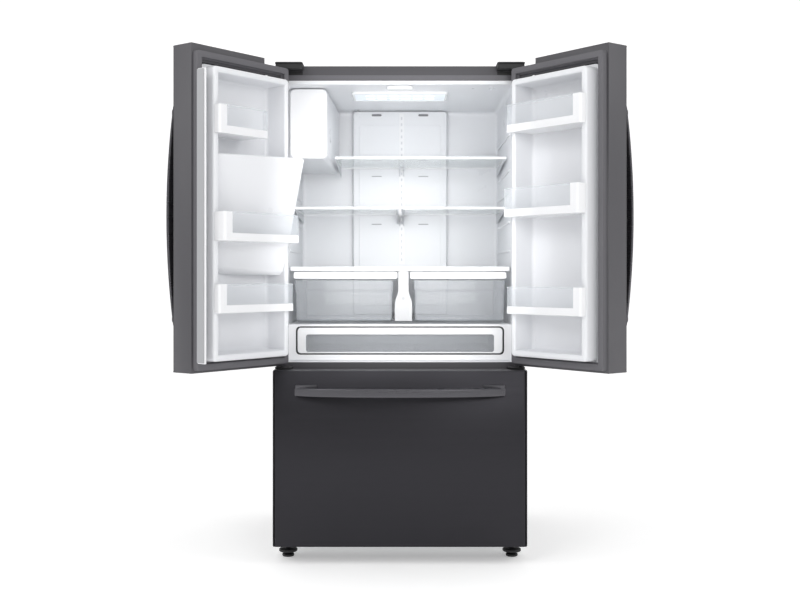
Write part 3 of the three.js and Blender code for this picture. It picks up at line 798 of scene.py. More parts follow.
@dataclass
class Case:
    """The steel case with its back, base, hinges, feet and machine space."""

    corner: float = 6.0
    sheet_thick: float = 1.2
    return_x: Span = (446.3, 452.7)  # the narrow folds beside the liners
    middle_rail: Span = (673.0, 710.5)
    top_rail: float = 1743.0  # the lower edge of the top rail
    bottom_rail: float = 62.0  # the upper edge of the bottom rail
    screw_radius: float = 4.5
    rib_circle: float = 32.4
    leg_ribs: int = 24

    def __post_init__(self) -> None:
        """Works out the case's place."""
        self.place = cabinet_place("cabinet")

    def build(self) -> None:
        """Dresses the case and adds the small parts on it."""
        self.sheet()
        carry(["back_panel", "base_pan", "machine_cover"], ZINC, Softening.FINE)
        carry(["freezer_rail_left", "freezer_rail_right"], ZINC, Softening.FINE)
        carry(["top_hinge_left", "top_hinge_right"], BLACK, Softening.FINE)
        carry(["mid_hinge_left", "mid_hinge_right", "compressor"], BLACK, Softening.SHEET)
        carry(["evaporator_coil", "condenser"], FINS, Softening.FINE)
        carry(["evaporator_fan", "condenser_fan"], BLACK, Softening.FINE)
        carry(["freezer_liner"], WHITE, Softening.MOULDED)
        carry(["ice_tray"], PALE_GREY_AND_SLOT_SHADE, Softening.SHEET)
        self.freezer_ledges()
        self.screws()
        self.pipes()
        self.front_trim()
        for side in (-1, 1):
            self.hinge_cover(side)
        for side in ("left", "right"):
            self.leg(side)
            self.roller(side)

    def sheet(self) -> None:
        """The wrapped sheet with its front rails and the narrow returns beside the liners."""
        x, y, z = self.place.span("outer_case")
        r, edge = self.corner, self.sheet_thick
        right = [(x[1] - r + r * c, z[1] - r + r * s) for c, s in arc(5)]
        left = [(x[0] + r - r * s, z[1] - r + r * c) for c, s in arc(5)]
        case = Mould(self.place)
        case.wall([(x[1], z[0]), *right, *left, (x[0], z[0])], edge, y, 0.3, Axis.Y)
        inside = grow(x, -edge - 0.1)
        top, bottom = (self.top_rail, z[1] - edge - 0.1), (z[0] + 1.8, self.bottom_rail)
        for height, depth in ((top, 28), (self.middle_rail, 45), (bottom, 40)):
            case.block((inside, (y[0], depth), height), 1.0, Axis.Y, 1.5)
        tall = (self.bottom_rail + 0.3, self.top_rail - 0.2)
        for side in (-1, 1):
            wide = between(side * self.return_x[0], side * self.return_x[1])
            case.block((wide, (y[0], 12), tall), 0.6, Axis.Y, 0.8)
        case.piece("case_sheet", CASE_PAINT, "graphite_steel", ["outer_case"])

    def screws(self) -> None:
        """Screw heads round the back panel and the machine cover."""
        x, _, z = self.place.span("back_panel")
        sides, ends = grow(x, -12), grow(z, -20)
        spots = [(side, row) for side in sides for row in evenly(ends, 8)]
        spots += [(column, 54.0) for column in evenly(sides, 7)]
        face = self.place.span("outer_case")[1][1] + self.sheet_thick
        r = self.screw_radius
        head = [(0, face), (r, face), (r, face + 1), (r * 0.6, face + 2), (0, face + 2.2)]
        mould = Mould(self.place)
        for spot in spots:
            mould.rod(spot, Axis.Y, head, 12)
        mould.piece("case_screws", ZINC, "zinc_steel")

    def freezer_ledges(self) -> None:
        """The moulded ledges that the upper freezer tray runs on."""
        foot = cabinet_place("upper_freezer_tray").span("freezer_tray")[2][0]
        ledges = Mould(self.place)
        for side in (-1, 1):
            spans = (between(side * 394, side * 415.4), (30, 620), (foot - 8, foot - 1))
            ledges.block(spans, 2.0, Axis.Y, 3)
        ledges.piece("freezer_ledges", WHITE, "white_plastic")

    def front_trim(self) -> None:
        """Thin trims on the case front: a lighter strip over the opening as painted light on the top rail,
        black plates behind the hinges.
        """
        x = self.place.span("outer_case")[0]
        # A lighter strip on the top rail, painted light where the rail looks brighter than the rest of the
        # case.
        strip = Mould(self.place)
        strip.block((grow(x, -1.5), (-0.5, 0.4), (self.top_rail + 0.6, 1762)), 0.2, Axis.Y, 0.5)
        strip.piece("case_top_rail_painted_light", LIT_CASE_PAINT, "graphite_steel")
        plates = Mould(self.place)
        for side in (-1, 1):
            plates.block((between(side * 414, side * 356), (-0.55, 0.4), (1762.5, 1775)), 0.2, Axis.Y, 0.5)
        plates.piece("hinge_plates", BLACK, "black_plastic")

    def hinge_cover(self, side: int) -> None:
        """One hinge cover: a dark cap over a black body.

        Args:
            side: -1 for the left one, 1 for the right one.
        """
        name = "left" if side < 0 else "right"
        x, y, z = self.place.span(f"hinge_cover_{name}")
        body = Mould(self.place)
        body.block((grow(x, -2), (y[0] + 2, -0.7), (z[0], z[1] - 8.4)), 1.5, Axis.Z, 6)
        body.piece(f"hinge_body_{name}", BLACK, "black_plastic", [f"hinge_cover_{name}"])
        cap = Mould(self.place)
        cap.block((x, (y[0], -1.2), (z[1] - 8.2, z[1] - 2)), 2.4, Axis.Z, 9)
        cap.block((grow(x, -1), (-12, y[1]), (z[1] - 6.5, z[1])), 2.4, Axis.Z, 9)
        cap.piece(f"hinge_cap_{name}", HINGE_GREY, "black_plastic")

    def pipes(self) -> None:
        """The compressor's copper pipes to the condenser."""
        near = self.place.span("condenser")[0][0]
        route = [(-200, 620, 240), (-200, 600, 252), (-120, 590, 254), (40, 585, 250),
                 (near - 12, 600, 220), (near - 16, 630, 190)]
        tube = Sweep([Vector(p) for p in route], 12).circle(3.2)
        Mould(self.place).loft(tube).piece("discharge_pipe", COPPER, "zinc_steel")

    def leg(self, side: str) -> None:
        """One levelling leg: pad, neck, ribbed collar and threaded stem."""
        place = cabinet_place(f"{side}_leg")
        x, y, _ = place.span(f"front_leg_{side}")
        centre = (sum(x) / 2, sum(y) / 2)
        pad = [(0, 0), (19, 0), (21.2, 1.2), (22, 3), (22, 8), (20.5, 9.6), (12, 11.5)]
        neck = [(10.8, 13), (10.8, 16.5)]
        collar = [(30, 17.6), (32.4, 18.6), (33, 20), (33, 26), (32.2, 27.4), (30, 28.2), (9, 30.5)]
        stem = []
        for i in range(10):
            stem += [(7.9, 31.5 + i * 2.4), (6.9, 32.7 + i * 2.4)]
        stem += [(7, 55.5), (0, 55.9)]
        mould = Mould(place).rod(centre, Axis.Z, pad + neck + collar + stem, 40)
        for spot in oval(centre, (self.rib_circle, self.rib_circle), self.leg_ribs):
            mould.rod(spot, Axis.Z, [(0, 19), (1.5, 19.6), (1.5, 26.4), (0, 27)], 8)
        mould.piece(f"levelling_leg_{side}", BLACK, "black_plastic", [f"front_leg_{side}"])

    def roller(self, side: str) -> None:
        """One rear roller with its pin."""
        place = cabinet_place(f"{side}_roller")
        x, y, z = place.span(f"rear_roller_{side}")
        mid, radius = sum(x) / 2, (z[1] - z[0]) / 2
        half = [(0, 22), (4, 22), (4, 12.8), (radius - 5, 12.8), (radius - 1.5, 12.8), (radius, 11)]
        profile = [(r, mid - out) for r, out in half] + [(r, mid + out) for r, out in reversed(half)]
        mould = Mould(place).rod((sum(y) / 2, sum(z) / 2), Axis.X, profile, 36)
        mould.piece(f"roller_{side}", BLACK, "black_plastic", [f"rear_roller_{side}"])


class Sweep:
    """A smooth path through points, with frames for a section carried along it."""

    def __init__(self, points: Sequence[Vector], steps: int) -> None:
        """Samples a Catmull-Rom curve through the points.

        Args:
            points: the path's points.
            steps: samples between each pair of points.
        """
        ends = [points[0] * 2 - points[1], *points, points[-1] * 2 - points[-2]]
        self.path = []
        for p0, p1, p2, p3 in zip(ends, ends[1:], ends[2:], ends[3:]):
            for i in range(steps):
                self.path.append(self._between(p0, p1, p2, p3, i / steps))
        self.path.append(points[-1].copy())

    @staticmethod
    def _between(p0: Vector, p1: Vector, p2: Vector, p3: Vector, t: float) -> Vector:
        """A point of the curve between p1 and p2."""
        a = p1 * 2
        b = (p2 - p0) * t
        c = (p0 * 2 - p1 * 5 + p2 * 4 - p3) * t * t
        d = (p1 * 3 - p0 - p2 * 3 + p3) * t**3
        return (a + b + c + d) / 2

    def circle(self, radius: float, sides: int = 12) -> list[Loop]:
        """Circular loops along the path, for a round tube."""
        return self.section(oval((0, 0), (radius, radius), sides))

    def section(self, outline: Sequence[Flat], up: Vector | None = None) -> list[Loop]:
        """Carries a section along the path.

        Args:
            outline: (across, along up) points of the section.
            up: the direction that the section keeps, or None for one that the path never follows.

        Returns:
            The loops.
        """
        loops = []
        keep = up or Vector((0.31, 0.17, 0.93)).normalized()  # a slant that no pipe runs along
        for i, here in enumerate(self.path):
            ahead = self.path[min(i + 1, len(self.path) - 1)]
            behind = self.path[max(i - 1, 0)]
            along = (ahead - behind).normalized()
            across = along.cross(keep).normalized()
            rise = across.cross(along)
            loops.append([tuple(here + across * a + rise * b) for a, b in outline])
        return loops


@dataclass
class Handle:
    """A bowed bar handle on two lugs."""

    place: Place
    node: str
    slot: str = "graphite_steel"
    width: float = 30.0
    thick: float = 14.0
    root: float = 7.0  # how far ahead of the door's face the bar's ends stand
    samples: int = 12
    lug: Point = (11.0, 20.0, 13.0)  # half its width, its depth and half its length

    def build(self, upright: bool) -> None:
        """Makes the bar and its lugs from the CAD handle's box.

        Args:
            upright: True for a door handle, False for the drawer's.
        """
        x, y, z = self.place.span(self.node)
        long = z if upright else x
        centre = sum(x) / 2 if upright else sum(z) / 2
        out = y[0] + self.thick / 2
        face = y[1]
        root = face - self.root
        ends = grow(long, -4)
        pull = (ends[1] - ends[0]) * (1 / 3 if upright else 0.16)
        controls = (ends[0], ends[0] + pull, ends[1] - pull, ends[1])
        reach = (out - 0.25 * root) / 0.75
        points = []
        for i in range(self.samples + 1):
            t = i / self.samples
            weights = ((1 - t) ** 3, 3 * t * (1 - t) ** 2, 3 * t * t * (1 - t), t**3)
            along = sum(weight * control for weight, control in zip(weights, controls))
            depth = (weights[0] + weights[3]) * root + (weights[1] + weights[2]) * reach
            points.append(Vector((centre, depth, along)) if upright else Vector((along, depth, centre)))
        half = (self.thick / 2, self.width / 2)
        if upright:
            across = Vector((1, 0, 0))
            section = oval((0, 0), half, 28)
        else:
            across = Vector((0, 0, 1))
            section = round_rect((-half[0], half[0]), (-half[1], half[1]), self.thick * 0.42)
        mould = Mould(self.place)
        bar = Sweep(points, 4).section(section, across)
        mould.loft([shrink(bar[0], 0.7), *bar, shrink(bar[-1], 0.7)])
        for spot in (ends[0] + 20, ends[1] - 20):
            half_width, deep, half_length = self.lug
            wide = (centre - half_width, centre + half_width)
            tall = (spot - half_length, spot + half_length)
            spans = (wide, (face - deep, face), tall) if upright else (tall, (face - deep, face), wide)
            mould.block(spans, 1.5, Axis.Y, radius=9)
        mould.piece(f"{self.node}_bar", HANDLE_STEEL, self.slot, [self.node])


def shrink(loop: Loop, share: float) -> Loop:
    """A loop drawn in towards its middle."""
    middle = sum((Vector(p) for p in loop), Vector()) / len(loop)
    return [tuple(middle + (Vector(p) - middle) * share) for p in loop]


@dataclass
class Gasket:
    """A bellows gasket round a door or the drawer."""

    place: Place
    node: str
    width: float = 22.0

    def build(self) -> None:
        """Carries the bellows section round the CAD gasket's box."""
        x, y, z = self.place.span(self.node)
        back, front = y
        w, depth = self.width, front - back
        section = [(0, 0), (0, 0.35), (1.6, 0.45), (0, 0.58), (0.6, 0.92), (3, 1), (w - 3, 1),
                   (w - 0.6, 0.92), (w, 0.58), (w - 1.6, 0.45), (w, 0.35), (w + 3.6, 0.3), (w + 3.6, 0)]
        mould = Mould(self.place)
        mould.ring(x, z, 10.0, Axis.Y, [(inset, back + depth * share) for inset, share in section])
        mould.piece(f"{self.node}_bellows", RUBBER, "dark_rubber", [self.node])


@dataclass
class Bin:
    """A door bin: white foot rim and free-side end cap, with a clear wall round the front."""

    place: Place
    side: int
    node: str
    rim: float = 27.0
    wall: float = 3.0
    corner: float = 9.0
    cap: float = 24.0  # how far the white end cap reaches round the front
    ridge: float = 38.6  # y of the ridge faces that the front part spans

    def outline(self) -> list[Flat]:
        """The front outline in plan, from the high-x end round to the other, anticlockwise."""
        x, y, _ = self.place.span(self.node)
        r, front = self.corner, y[1]
        right = [(x[1] - r + r * c, front - r + r * s) for c, s in arc(6)]
        left = [(x[0] + r - r * s, front - r + r * c) for c, s in arc(6)]
        return [(x[1], self.ridge), *right, *left, (x[0], self.ridge)]

    def build(self) -> None:
        """Makes the white tray with its cap, and the clear wall."""
        x, y, z = self.place.span(self.node)
        line = self.outline()
        low, rim, wall = z[0], z[0] + self.rim, self.wall
        outer = [(1.6, low), (0.4, low + 1.0), (0, low + 2.4), (0, rim - 1.2), (1, rim)]
        inner = [(wall - 0.8, rim), (wall, rim - 1), (wall + 1.5, low + wall)]
        foot = Mould(self.place)
        foot.stack([(offset(line, inset), level) for inset, level in outer + inner], Axis.Z)
        rear = (x[0] + 22, x[1] - 22) if y[0] < 0 else (x[0] + 60, x[1] - 60)
        foot.block((rear, (max(y[0], -50.0), self.ridge + 4), (low + 0.5, low + 3.4)), 0.8, Axis.Z)
        foot.wall(self.cap_line(line, y[1]), wall, (rim - 2, z[1] - 0.2), 1.0)
        foot.piece(f"{self.node}_foot", WHITE_TRIM, "white_plastic", [self.node])
        window = Mould(self.place)
        window.wall(offset(line, 0.4), wall - 0.8, (rim - 3, z[1]))
        window.wall(line, wall, (z[1] - 4, z[1] - 0.1), 1.0)
        window.piece(f"{self.node}_window", CLEAR, "clear_plastic")

    def cap_line(self, line: Sequence[Flat], front: float) -> list[Flat]:
        """The stretch of the outline that the free-side end cap covers.

        Args:
            line: the bin's outline.
            front: its front.

        Returns:
            The stretch, a little outside the outline.
        """
        near = line[:8] if self.side < 0 else line[-8:]
        if self.side < 0:
            stretch = [*near, (near[-1][0] - self.cap, front)]
        else:
            stretch = [(near[0][0] + self.cap, front), *near]
        return offset(stretch, -0.3)


@dataclass
class Door:
    """One fresh-food door with its liner, gasket, handle and bins."""

    side: int
    ridge: float = 60.0
    ridge_width: float = 22.0
    floor: float = -31.0
    inner_y: float = -22.0
    height: Span = (730.0, 1737.0)
    corner: float = 26.0
    opening: tuple[Span, Span] | None = None  # of the liner's floor, across and upwards

    def __post_init__(self) -> None:
        """Works out the door's name and place."""
        self.name = "left_door" if self.side < 0 else "right_door"
        self.place = door_place(self.side, self.name)

    def build(self) -> None:
        """Dresses the skin and makes the pieces on it."""
        carry([f"{self.name}_panel"], self.steel(), Softening.SHEET)
        self.liner()
        Gasket(self.place, f"{self.name}_gasket").build()
        Handle(self.place, f"{self.name}_handle").build(upright=True)
        for level in ("top", "middle", "bottom"):
            Bin(self.place, self.side, f"{self.name}_bin_{level}").build()

    def steel(self) -> SkinnedSteel:
        """The door's own finish, with steel on the outer face only."""
        outward = self.place.matrix.to_3x3() @ Vector((0, -1 / MM, 0))
        plane = outward.dot(self.place.matrix @ Vector((0, -SKIN_DEPTH, 0)))
        return SkinnedSteel(f"{self.name} steel", STEEL_COLOUR, roughness=0.4, outward=tuple(outward),
                            plane=plane)

    def liner(self) -> None:
        """The white liner: flange, rounded ridge and sunk floor, open behind a dispenser."""
        width = grow(self.place.span(f"{self.name}_panel")[0], -34)
        inner = self.inner_y
        step, edge = 12.0, 9.0
        top = inner + self.ridge
        bottom = inner + self.floor
        back = bottom - 2.9
        far = step + self.ridge_width
        profile = [(step, back), (step, inner - 2.9), (0, inner - 2.9), (0, inner - 0.4),
                   (0.4, inner), (step - 3, inner), (step - 0.8, inner + 0.8), (step, inner + 3)]
        profile += [(step + edge * (1 - c), top - edge + edge * s) for c, s in arc(5)]
        profile += [(far - 6 + 6 * s, top - 6 + 6 * c) for c, s in arc(4)]
        profile += [(far + 2 + 14 * (1 - c), bottom + 14 - 14 * s) for c, s in arc(5)]
        mould = Mould(self.place)
        if self.opening is None:
            mould.dish(width, self.height, self.corner, Axis.Y, profile)
        else:
            levels = []
            for inset, level in profile:
                across, up = grow(width, -inset), grow(self.height, -inset)
                levels.append((round_rect(across, up, max(self.corner - inset, 2.0)), level))
            levels += [(round_rect(*self.opening, 4.0), level) for level in (bottom, back)]
            mould.stack(levels, closed=True)
        mould.piece(f"{self.name}_liner_moulding", WHITE, "white_plastic", [f"{self.name}_liner"])


@dataclass
class LeftDoor(Door):
    """The left door, with the dispenser, its bulge inside and the folding mullion."""

    side: int = -1
    opening: tuple[Span, Span] | None = ((-340.0, -117.0), (1046.0, 1407.0))
    hinge_x: float = -454.0
    bezel: Span = (-331.0, -126.0)
    bulge_edge: float = 9.0
    bulge_wall: float = 0.965  # the inner wall's size as a share of the outer one's

    def build(self) -> None:
        """Adds the left door's own pieces."""
        super().build()
        self.bulge()
        self.mullion()
        self.dispenser()

    def at(self, u: float, n: float, z: float) -> Point:
        """A point given from the hinge side, from the inner face and from the floor."""
        return (u + self.hinge_x, n + self.inner_y, z)

    def bulge(self) -> None:
        """The faceted hump over the dispenser, deepest where the ice comes down."""
        floor = self.floor + 1
        low, high = 1030, 1437
        corners = [(60, 150, high), (100, 152, high), (235, 92, high), (390, 50, high),
                   (390, floor, high), (60, floor, high), (60, 48, low), (60, floor, low),
                   (300, floor, low), (390, floor, low + 30)]
        mould = Mould(self.place)
        mesh = mould.mesh
        verts = [mesh.verts.new(self.at(*corner)) for corner in corners]
        bmesh.ops.convex_hull(mesh, input=verts)
        bmesh.ops.dissolve_limit(mesh, angle_limit=0.02, verts=mesh.verts, edges=mesh.edges)
        bmesh.ops.bevel(mesh, geom=mesh.edges[:], offset=self.bulge_edge, segments=4, affect="EDGES",
                        profile=0.5)
        self.hollow(mesh, Vector(self.at(225, floor, 1235)))
        mould.piece("dispenser_bulge", WHITE, "white_plastic")

    def hollow(self, mesh: bmesh.types.BMesh, hub: Vector) -> None:
        """Opens the hump's base and gives it an inner wall.

        Args:
            mesh: the hump.
            hub: the middle of its base.
        """
        mesh.normal_update()
        base = [face for face in mesh.faces if face.normal.y < -0.99]
        bmesh.ops.delete(mesh, geom=base, context="FACES")
        twin = bmesh.ops.duplicate(mesh, geom=[*mesh.verts, *mesh.edges, *mesh.faces])["geom"]
        for vert in twin:
            if isinstance(vert, bmesh.types.BMVert):
                vert.co = hub + (vert.co - hub) * self.bulge_wall
        bmesh.ops.bridge_loops(mesh, edges=[edge for edge in mesh.edges if edge.is_boundary])
        bmesh.ops.recalc_face_normals(mesh, faces=mesh.faces)

    def mullion(self) -> None:
        """The folding strip's face and its side strip."""
        place = Place("mullion", self.place.matrix)
        x, y, z = place.span("mullion_flap")
        strip = (z[0], z[1] + 1.5)
        face = Mould(place).block(((x[0], x[1] - 4), y, strip), 2.5, Axis.Z, 3)
        face.piece("mullion_face", WHITE_TRIM, "grey_plastic", ["mullion_flap"])
        edge = Mould(place).block(((x[1] - 4.2, x[1]), grow(y, -1.5), grow(strip, -3)), 1.2, Axis.X, 3)
        edge.piece("mullion_edge_strip", MULLION_GREY_AND_HOLE_SHADE, "grey_plastic")

    def dispenser(self) -> None:
        """Bezel, lit control panel, drip grille, spout and paddle."""
        carry(["dispenser_housing", "dispenser_lever"], BLACK, Softening.SHEET)
        face = -125.0
        panel = Mould(self.place)
        panel.block((self.bezel, (face - 0.9, face + 2), (1312, 1398)), 0.6, Axis.Y, 6)
        panel.piece("dispenser_control_panel", BLACK_GLOSS, "black_plastic")
        icons = Mould(self.place)
        ring = [(9.0, face - 0.9), (9.0, face - 1.3), (7.6, face - 1.3), (7.6, face - 0.9)]
        for column in range(5):
            centre = (-300 + column * 36, 1355)
            icons.stack([(oval(centre, (r, r), 24), level) for r, level in ring], closed=True)
        icons.piece("dispenser_panel_lights", ICON, "black_plastic")
        grille = Mould(self.place)
        for i in range(14):
            x = -330 + i * 15
            grille.block(((x, x + 7), (-117, -68), (1052.5, 1056)), 1.0, Axis.Z)
        grille.block((self.bezel, (-119, -116.5), (1052.5, 1058)), 0.8, Axis.Z)
        grille.piece("dispenser_drip_grille", HANDLE_STEEL, "black_plastic")


@dataclass
class FreezerDrawer:
    """The freezer drawer's front, handle, gasket and baskets."""

    def build(self) -> None:
        """Builds the drawer's pieces."""
        place = cabinet_place("freezer_drawer")
        plane = -(CASE_FRONT - SKIN_DEPTH) * MM
        steel = SkinnedSteel("drawer steel", STEEL_COLOUR, roughness=0.4, plane=plane)
        carry(["freezer_drawer_front"], steel, Softening.SHEET)
        carry(["freezer_drawer_liner"], WHITE, Softening.MOULDED)
        Gasket(place, "freezer_drawer_gasket").build()
        Handle(place, "freezer_handle", width=31.0).build(upright=False)
        self.handle_ears(place)
        Tray(place, "freezer_basket", WHITE_TRIM, "white_plastic", corner=26).build()
        upper = cabinet_place("upper_freezer_tray")
        Tray(upper, "freezer_tray", CRISPER_CLEAR, "clear_plastic", corner=20).build()

    def handle_ears(self, place: Place) -> None:
        """The tapered feet that stand over the ends of the bar."""
        x, _, z = place.span("freezer_handle")
        face = place.span("freezer_drawer_front")[1][0]
        ears = Mould(place)
        for side in (-1, 1):
            end = side * (x[1] - 4)
            tip = end - side * 74
            plan = [(end, face - 20), (end, face - 0.3), (tip, face - 0.3), (tip, face - 4.0),
                    (end - side * 20, face - 20)]
            if side > 0:
                plan.reverse()
            ears.stack([(plan, z[1] - 4.0), (plan, z[1] + 8.5)], Axis.Z)
        ears.piece("freezer_handle_feet", HANDLE_STEEL, "graphite_steel")


@dataclass
class Tray:
    """An open tray with rounded corners and a rolled rim."""

    place: Place
    node: str
    finish: Finish
    slot: str
    corner: float = 18.0
    wall: float = 3.0
    draft: float = 5.0

    def build(self) -> None:
        """Makes the tray inside the CAD tray's box."""
        x, y, z = self.place.span(self.node)
        w, d, foot = self.wall, self.draft, 6.0
        low, high = z
        outer = heel(d, low, foot, foot)
        rim = [(d - 1, high - 9), (d - 3.5, high - 6), (d - 4.2, high - 3), (d - 3.8, high - 0.8),
               (d - 2.5, high)]
        inner = [(w, high - 0.4), (w + 1.2, high - 2), (w + d, low + w + 5)]
        floor = reversed(heel(w + d, low + w, foot, foot * 0.8))
        mould = Mould(self.place).dish(x, y, self.corner, Axis.Z, [*outer, *rim, *inner, *floor])
        mould.piece(f"{self.node}_tray", self.finish, self.slot, [self.node])


@dataclass
class Shelf:
    """A glass shelf with a white front lip and slanted side brackets."""

    node: str
    arm: float = 3.0

    def build(self) -> None:
        """Makes glass, rim and brackets inside the CAD shelf's box."""
        place = cabinet_place("cabinet")
        x, y, z = place.span(self.node)
        top = z[1]
        glass = Mould(place)
        glass.block(((x[0] + 5, x[1] - 5), (y[0] + 6, y[1] - 4), (top - 6, top - 1.5)), 0.8, Axis.Z, 6)
        glass.piece(f"{self.node}_glass", GLASS, "shelf_glass", [self.node])
        rim = Mould(place)
        rim.block((x, (y[0], y[0] + 11), (top - 10, top)), 2.4, Axis.X, 3.5)
        rim.block((x, (y[1] - 9, y[1]), (top - 9, top)), 2.0, Axis.X, 2.5)
        for side in ((x[0], x[0] + 8), (x[1] - 8, x[1])):
            rim.block((side, (y[0] + 4, y[1]), (top - 8, top)), 2.0, Axis.Y, 2.5)
        rim.piece(f"{self.node}_rim", WHITE_TRIM, "white_plastic")
        arms = Mould(place)
        for left in (x[0] + 1, x[1] - 4):
            slant = [(y[0] + 34, top - 8), (y[1] - 2, z[0] + 1), (y[1] - 2, top - 8)]
            arms.stack([(slant, left), (slant, left + self.arm)], Axis.X)
        arms.piece(f"{self.node}_brackets", PALE_GREY_AND_SLOT_SHADE, "grey_plastic")


@dataclass
class FreshFoodRoom:
    """The fresh-food liner and what is fixed in it."""

    width: Span = (-418.0, 418.0)
    height: Span = (714.0, 1728.0)
    limits: Span = (711.2, 1742.0)  # the lowest and highest that the flange may reach
    corner: float = 18.0
    flange: float = 28.0
    middle: float = 13.0  # x of the post between the crispers
    pantry_x: Span = (-384.0, 384.0)  # the pantry drawer's opening
    pantry_z: Span = (737.0, 839.0)
    rail_z: Span = (1075.0, 1716.0)

    def __post_init__(self) -> None:
        """Works out the room's place."""
        self.place = cabinet_place("cabinet")

    def build(self) -> None:
        """Builds the liner and the fixed parts."""
        self.liner()
        self.duct()
        self.rails()
        self.light()
        for name in ("top_shelf", "middle_shelf_left", "middle_shelf_right"):
            Shelf(name).build()
        self.crisper_cover()
        self.pantry_housing()
        guide = self.place.span("mullion_guide")
        spans = (guide[0], guide[1], (guide[2][0] + 1.5, guide[2][1]))
        block = Mould(self.place).block(spans, 6.0, Axis.Z, 25)
        block.piece("mullion_guide_block", WHITE_TRIM, "grey_plastic", ["mullion_guide"])

    def liner(self) -> None:
        """The thin white liner with rounded corners and its flange on the case front."""
        back = self.place.span("fresh_food_liner")[1][1]
        deep = back - 3
        fl, round_back = self.flange, 16
        profile = [(-3, back), (-3, 3.2), (-fl, 3.2), (-fl, 0.6), (-fl + 0.3, 0.35), (-3.0, 0.35),
                   (-1.0, 1.2), (0, 3.5), (0, deep - round_back)]
        profile += [(round_back * (1 - c), deep - round_back + round_back * s) for c, s in arc(5)]
        levels = []
        for inset, level in profile:
            low, high = grow(self.height, -inset)
            up = (max(low, self.limits[0]), min(high, self.limits[1]))
            levels.append((round_rect(grow(self.width, -inset), up, self.corner - max(inset, 0)), level))
        room = Mould(self.place).stack(levels)
        room.piece("fresh_food_room", WHITE, "white_plastic", ["fresh_food_liner"])

    def duct(self) -> None:
        """The air duct cover in the middle of the back wall, with grey patches painted as the shade in its
        vents.
        """
        x, y, z = self.place.span("evaporator_cover")
        cover = Mould(self.place)
        cover.block((x, y, z), 7.0, Axis.Y, 14)
        cover.block(((x[0] + 26, x[1] - 26), (y[0] - 2, y[0] + 4), (z[0] + 40, z[1] - 60)), 2.0, Axis.Y, 10)
        cover.piece("duct_cover", WHITE, "white_plastic", ["evaporator_cover"])
        # Grey patches standing proud of the cover, painted as the shade inside its vent openings.
        for name, finish, height, levels in (
            ("duct_vent_shade", VENT_SHADE_GREY, 9.0, (1704,)),
            ("duct_slot_shade", MULLION_GREY_AND_HOLE_SHADE, 4.0, (1447, 1244)),
        ):
            shade_patches = Mould(self.place)
            for side in (-1, 1):
                wide = between(side * 78, side * 120)
                for level in levels:
                    spans = (wide, (y[0] - 2.6, y[0] + 1), (level, level + height))
                    shade_patches.block(spans, 0.8, Axis.Y, height * 0.45)
            shade_patches.piece(name, finish, "grey_plastic")

    def rails(self) -> None:
        """The slotted shelf rail at the back, its slots shown as painted shade, and the moulded ledges on
        the side walls.
        """
        face = self.place.span("evaporator_cover")[1][0]
        rail = Mould(self.place)
        rail.block(((-4, 18), (face - 6, face - 2), self.rail_z), 1.0, Axis.Y, 2)
        rail.piece("shelf_rail", WHITE_TRIM, "white_plastic")
        # Grey patches on the rail, painted as the shade inside its slots.
        slot_patches = Mould(self.place)
        for i in range(24):
            low = self.rail_z[0] + 15 + i * 26
            slot_patches.block(((4, 10), (face - 6.6, face - 5), (low, low + 12)), 0.4, Axis.Y, 1)
        slot_patches.piece("shelf_rail_slot_shade", PALE_GREY_AND_SLOT_SHADE, "grey_plastic")
        hooks = Mould(self.place)
        for level in (1472, 1262):
            for side in (-3, 13):
                wide = (side, side + 5)
                hooks.block((wide, (face - 34, face - 5.5), (level - 2, level + 16)), 1.2, Axis.X, 5)
                hooks.block((wide, (face - 17, face - 5.5), (level - 24, level)), 1.2, Axis.X, 4)
        hooks.piece("shelf_rail_hooks", PALE_GREY_AND_SLOT_SHADE, "grey_plastic")
        ledges = Mould(self.place)
        for side, levels in ((-1, (1118, 1226, 1338, 1430)), (1, (1118, 1226, 1338, 1424, 1560))):
            wide = between(side * 413.5, side * 418.6)
            for level in levels:
                ledges.block((wide, (150, 650), (level, level + 9)), 2.2, Axis.X, 4.4)
        ledges.piece("side_ledges", WHITE, "white_plastic")

    def light(self) -> None:
        """The ceiling light: frame, diffuser and two rows of dots."""
        x, y, z = self.place.span("light_lens")
        low, high = z
        body = Mould(self.place)
        ring = [(0, high), (0, low + 2), (1, low + 0.6), (2.4, low), (9, low), (10, low + 1), (10, high)]
        body.ring(x, y, 20.0, Axis.Z, ring)
        body.piece("light_frame", WHITE_TRIM, "white_plastic")
        lens = Mould(self.place)
        lens.block((grow(x, -10.3), grow(y, -10.3), (low + 1.2, low + 5)), 1.0, Axis.Z, 10)
        lens.piece("light_diffuser", LIGHT, "clear_plastic", ["light_lens"])
        dots = Mould(self.place)
        for row in grow(y, -60):
            for centre in range(-115, 116, 46):
                spans = ((centre - 17, centre + 17), (row - 5, row + 5), (low + 0.5, low + 2))
                dots.block(spans, 0.4, Axis.Z, 5)
        dots.piece("light_dots", LED, "clear_plastic")

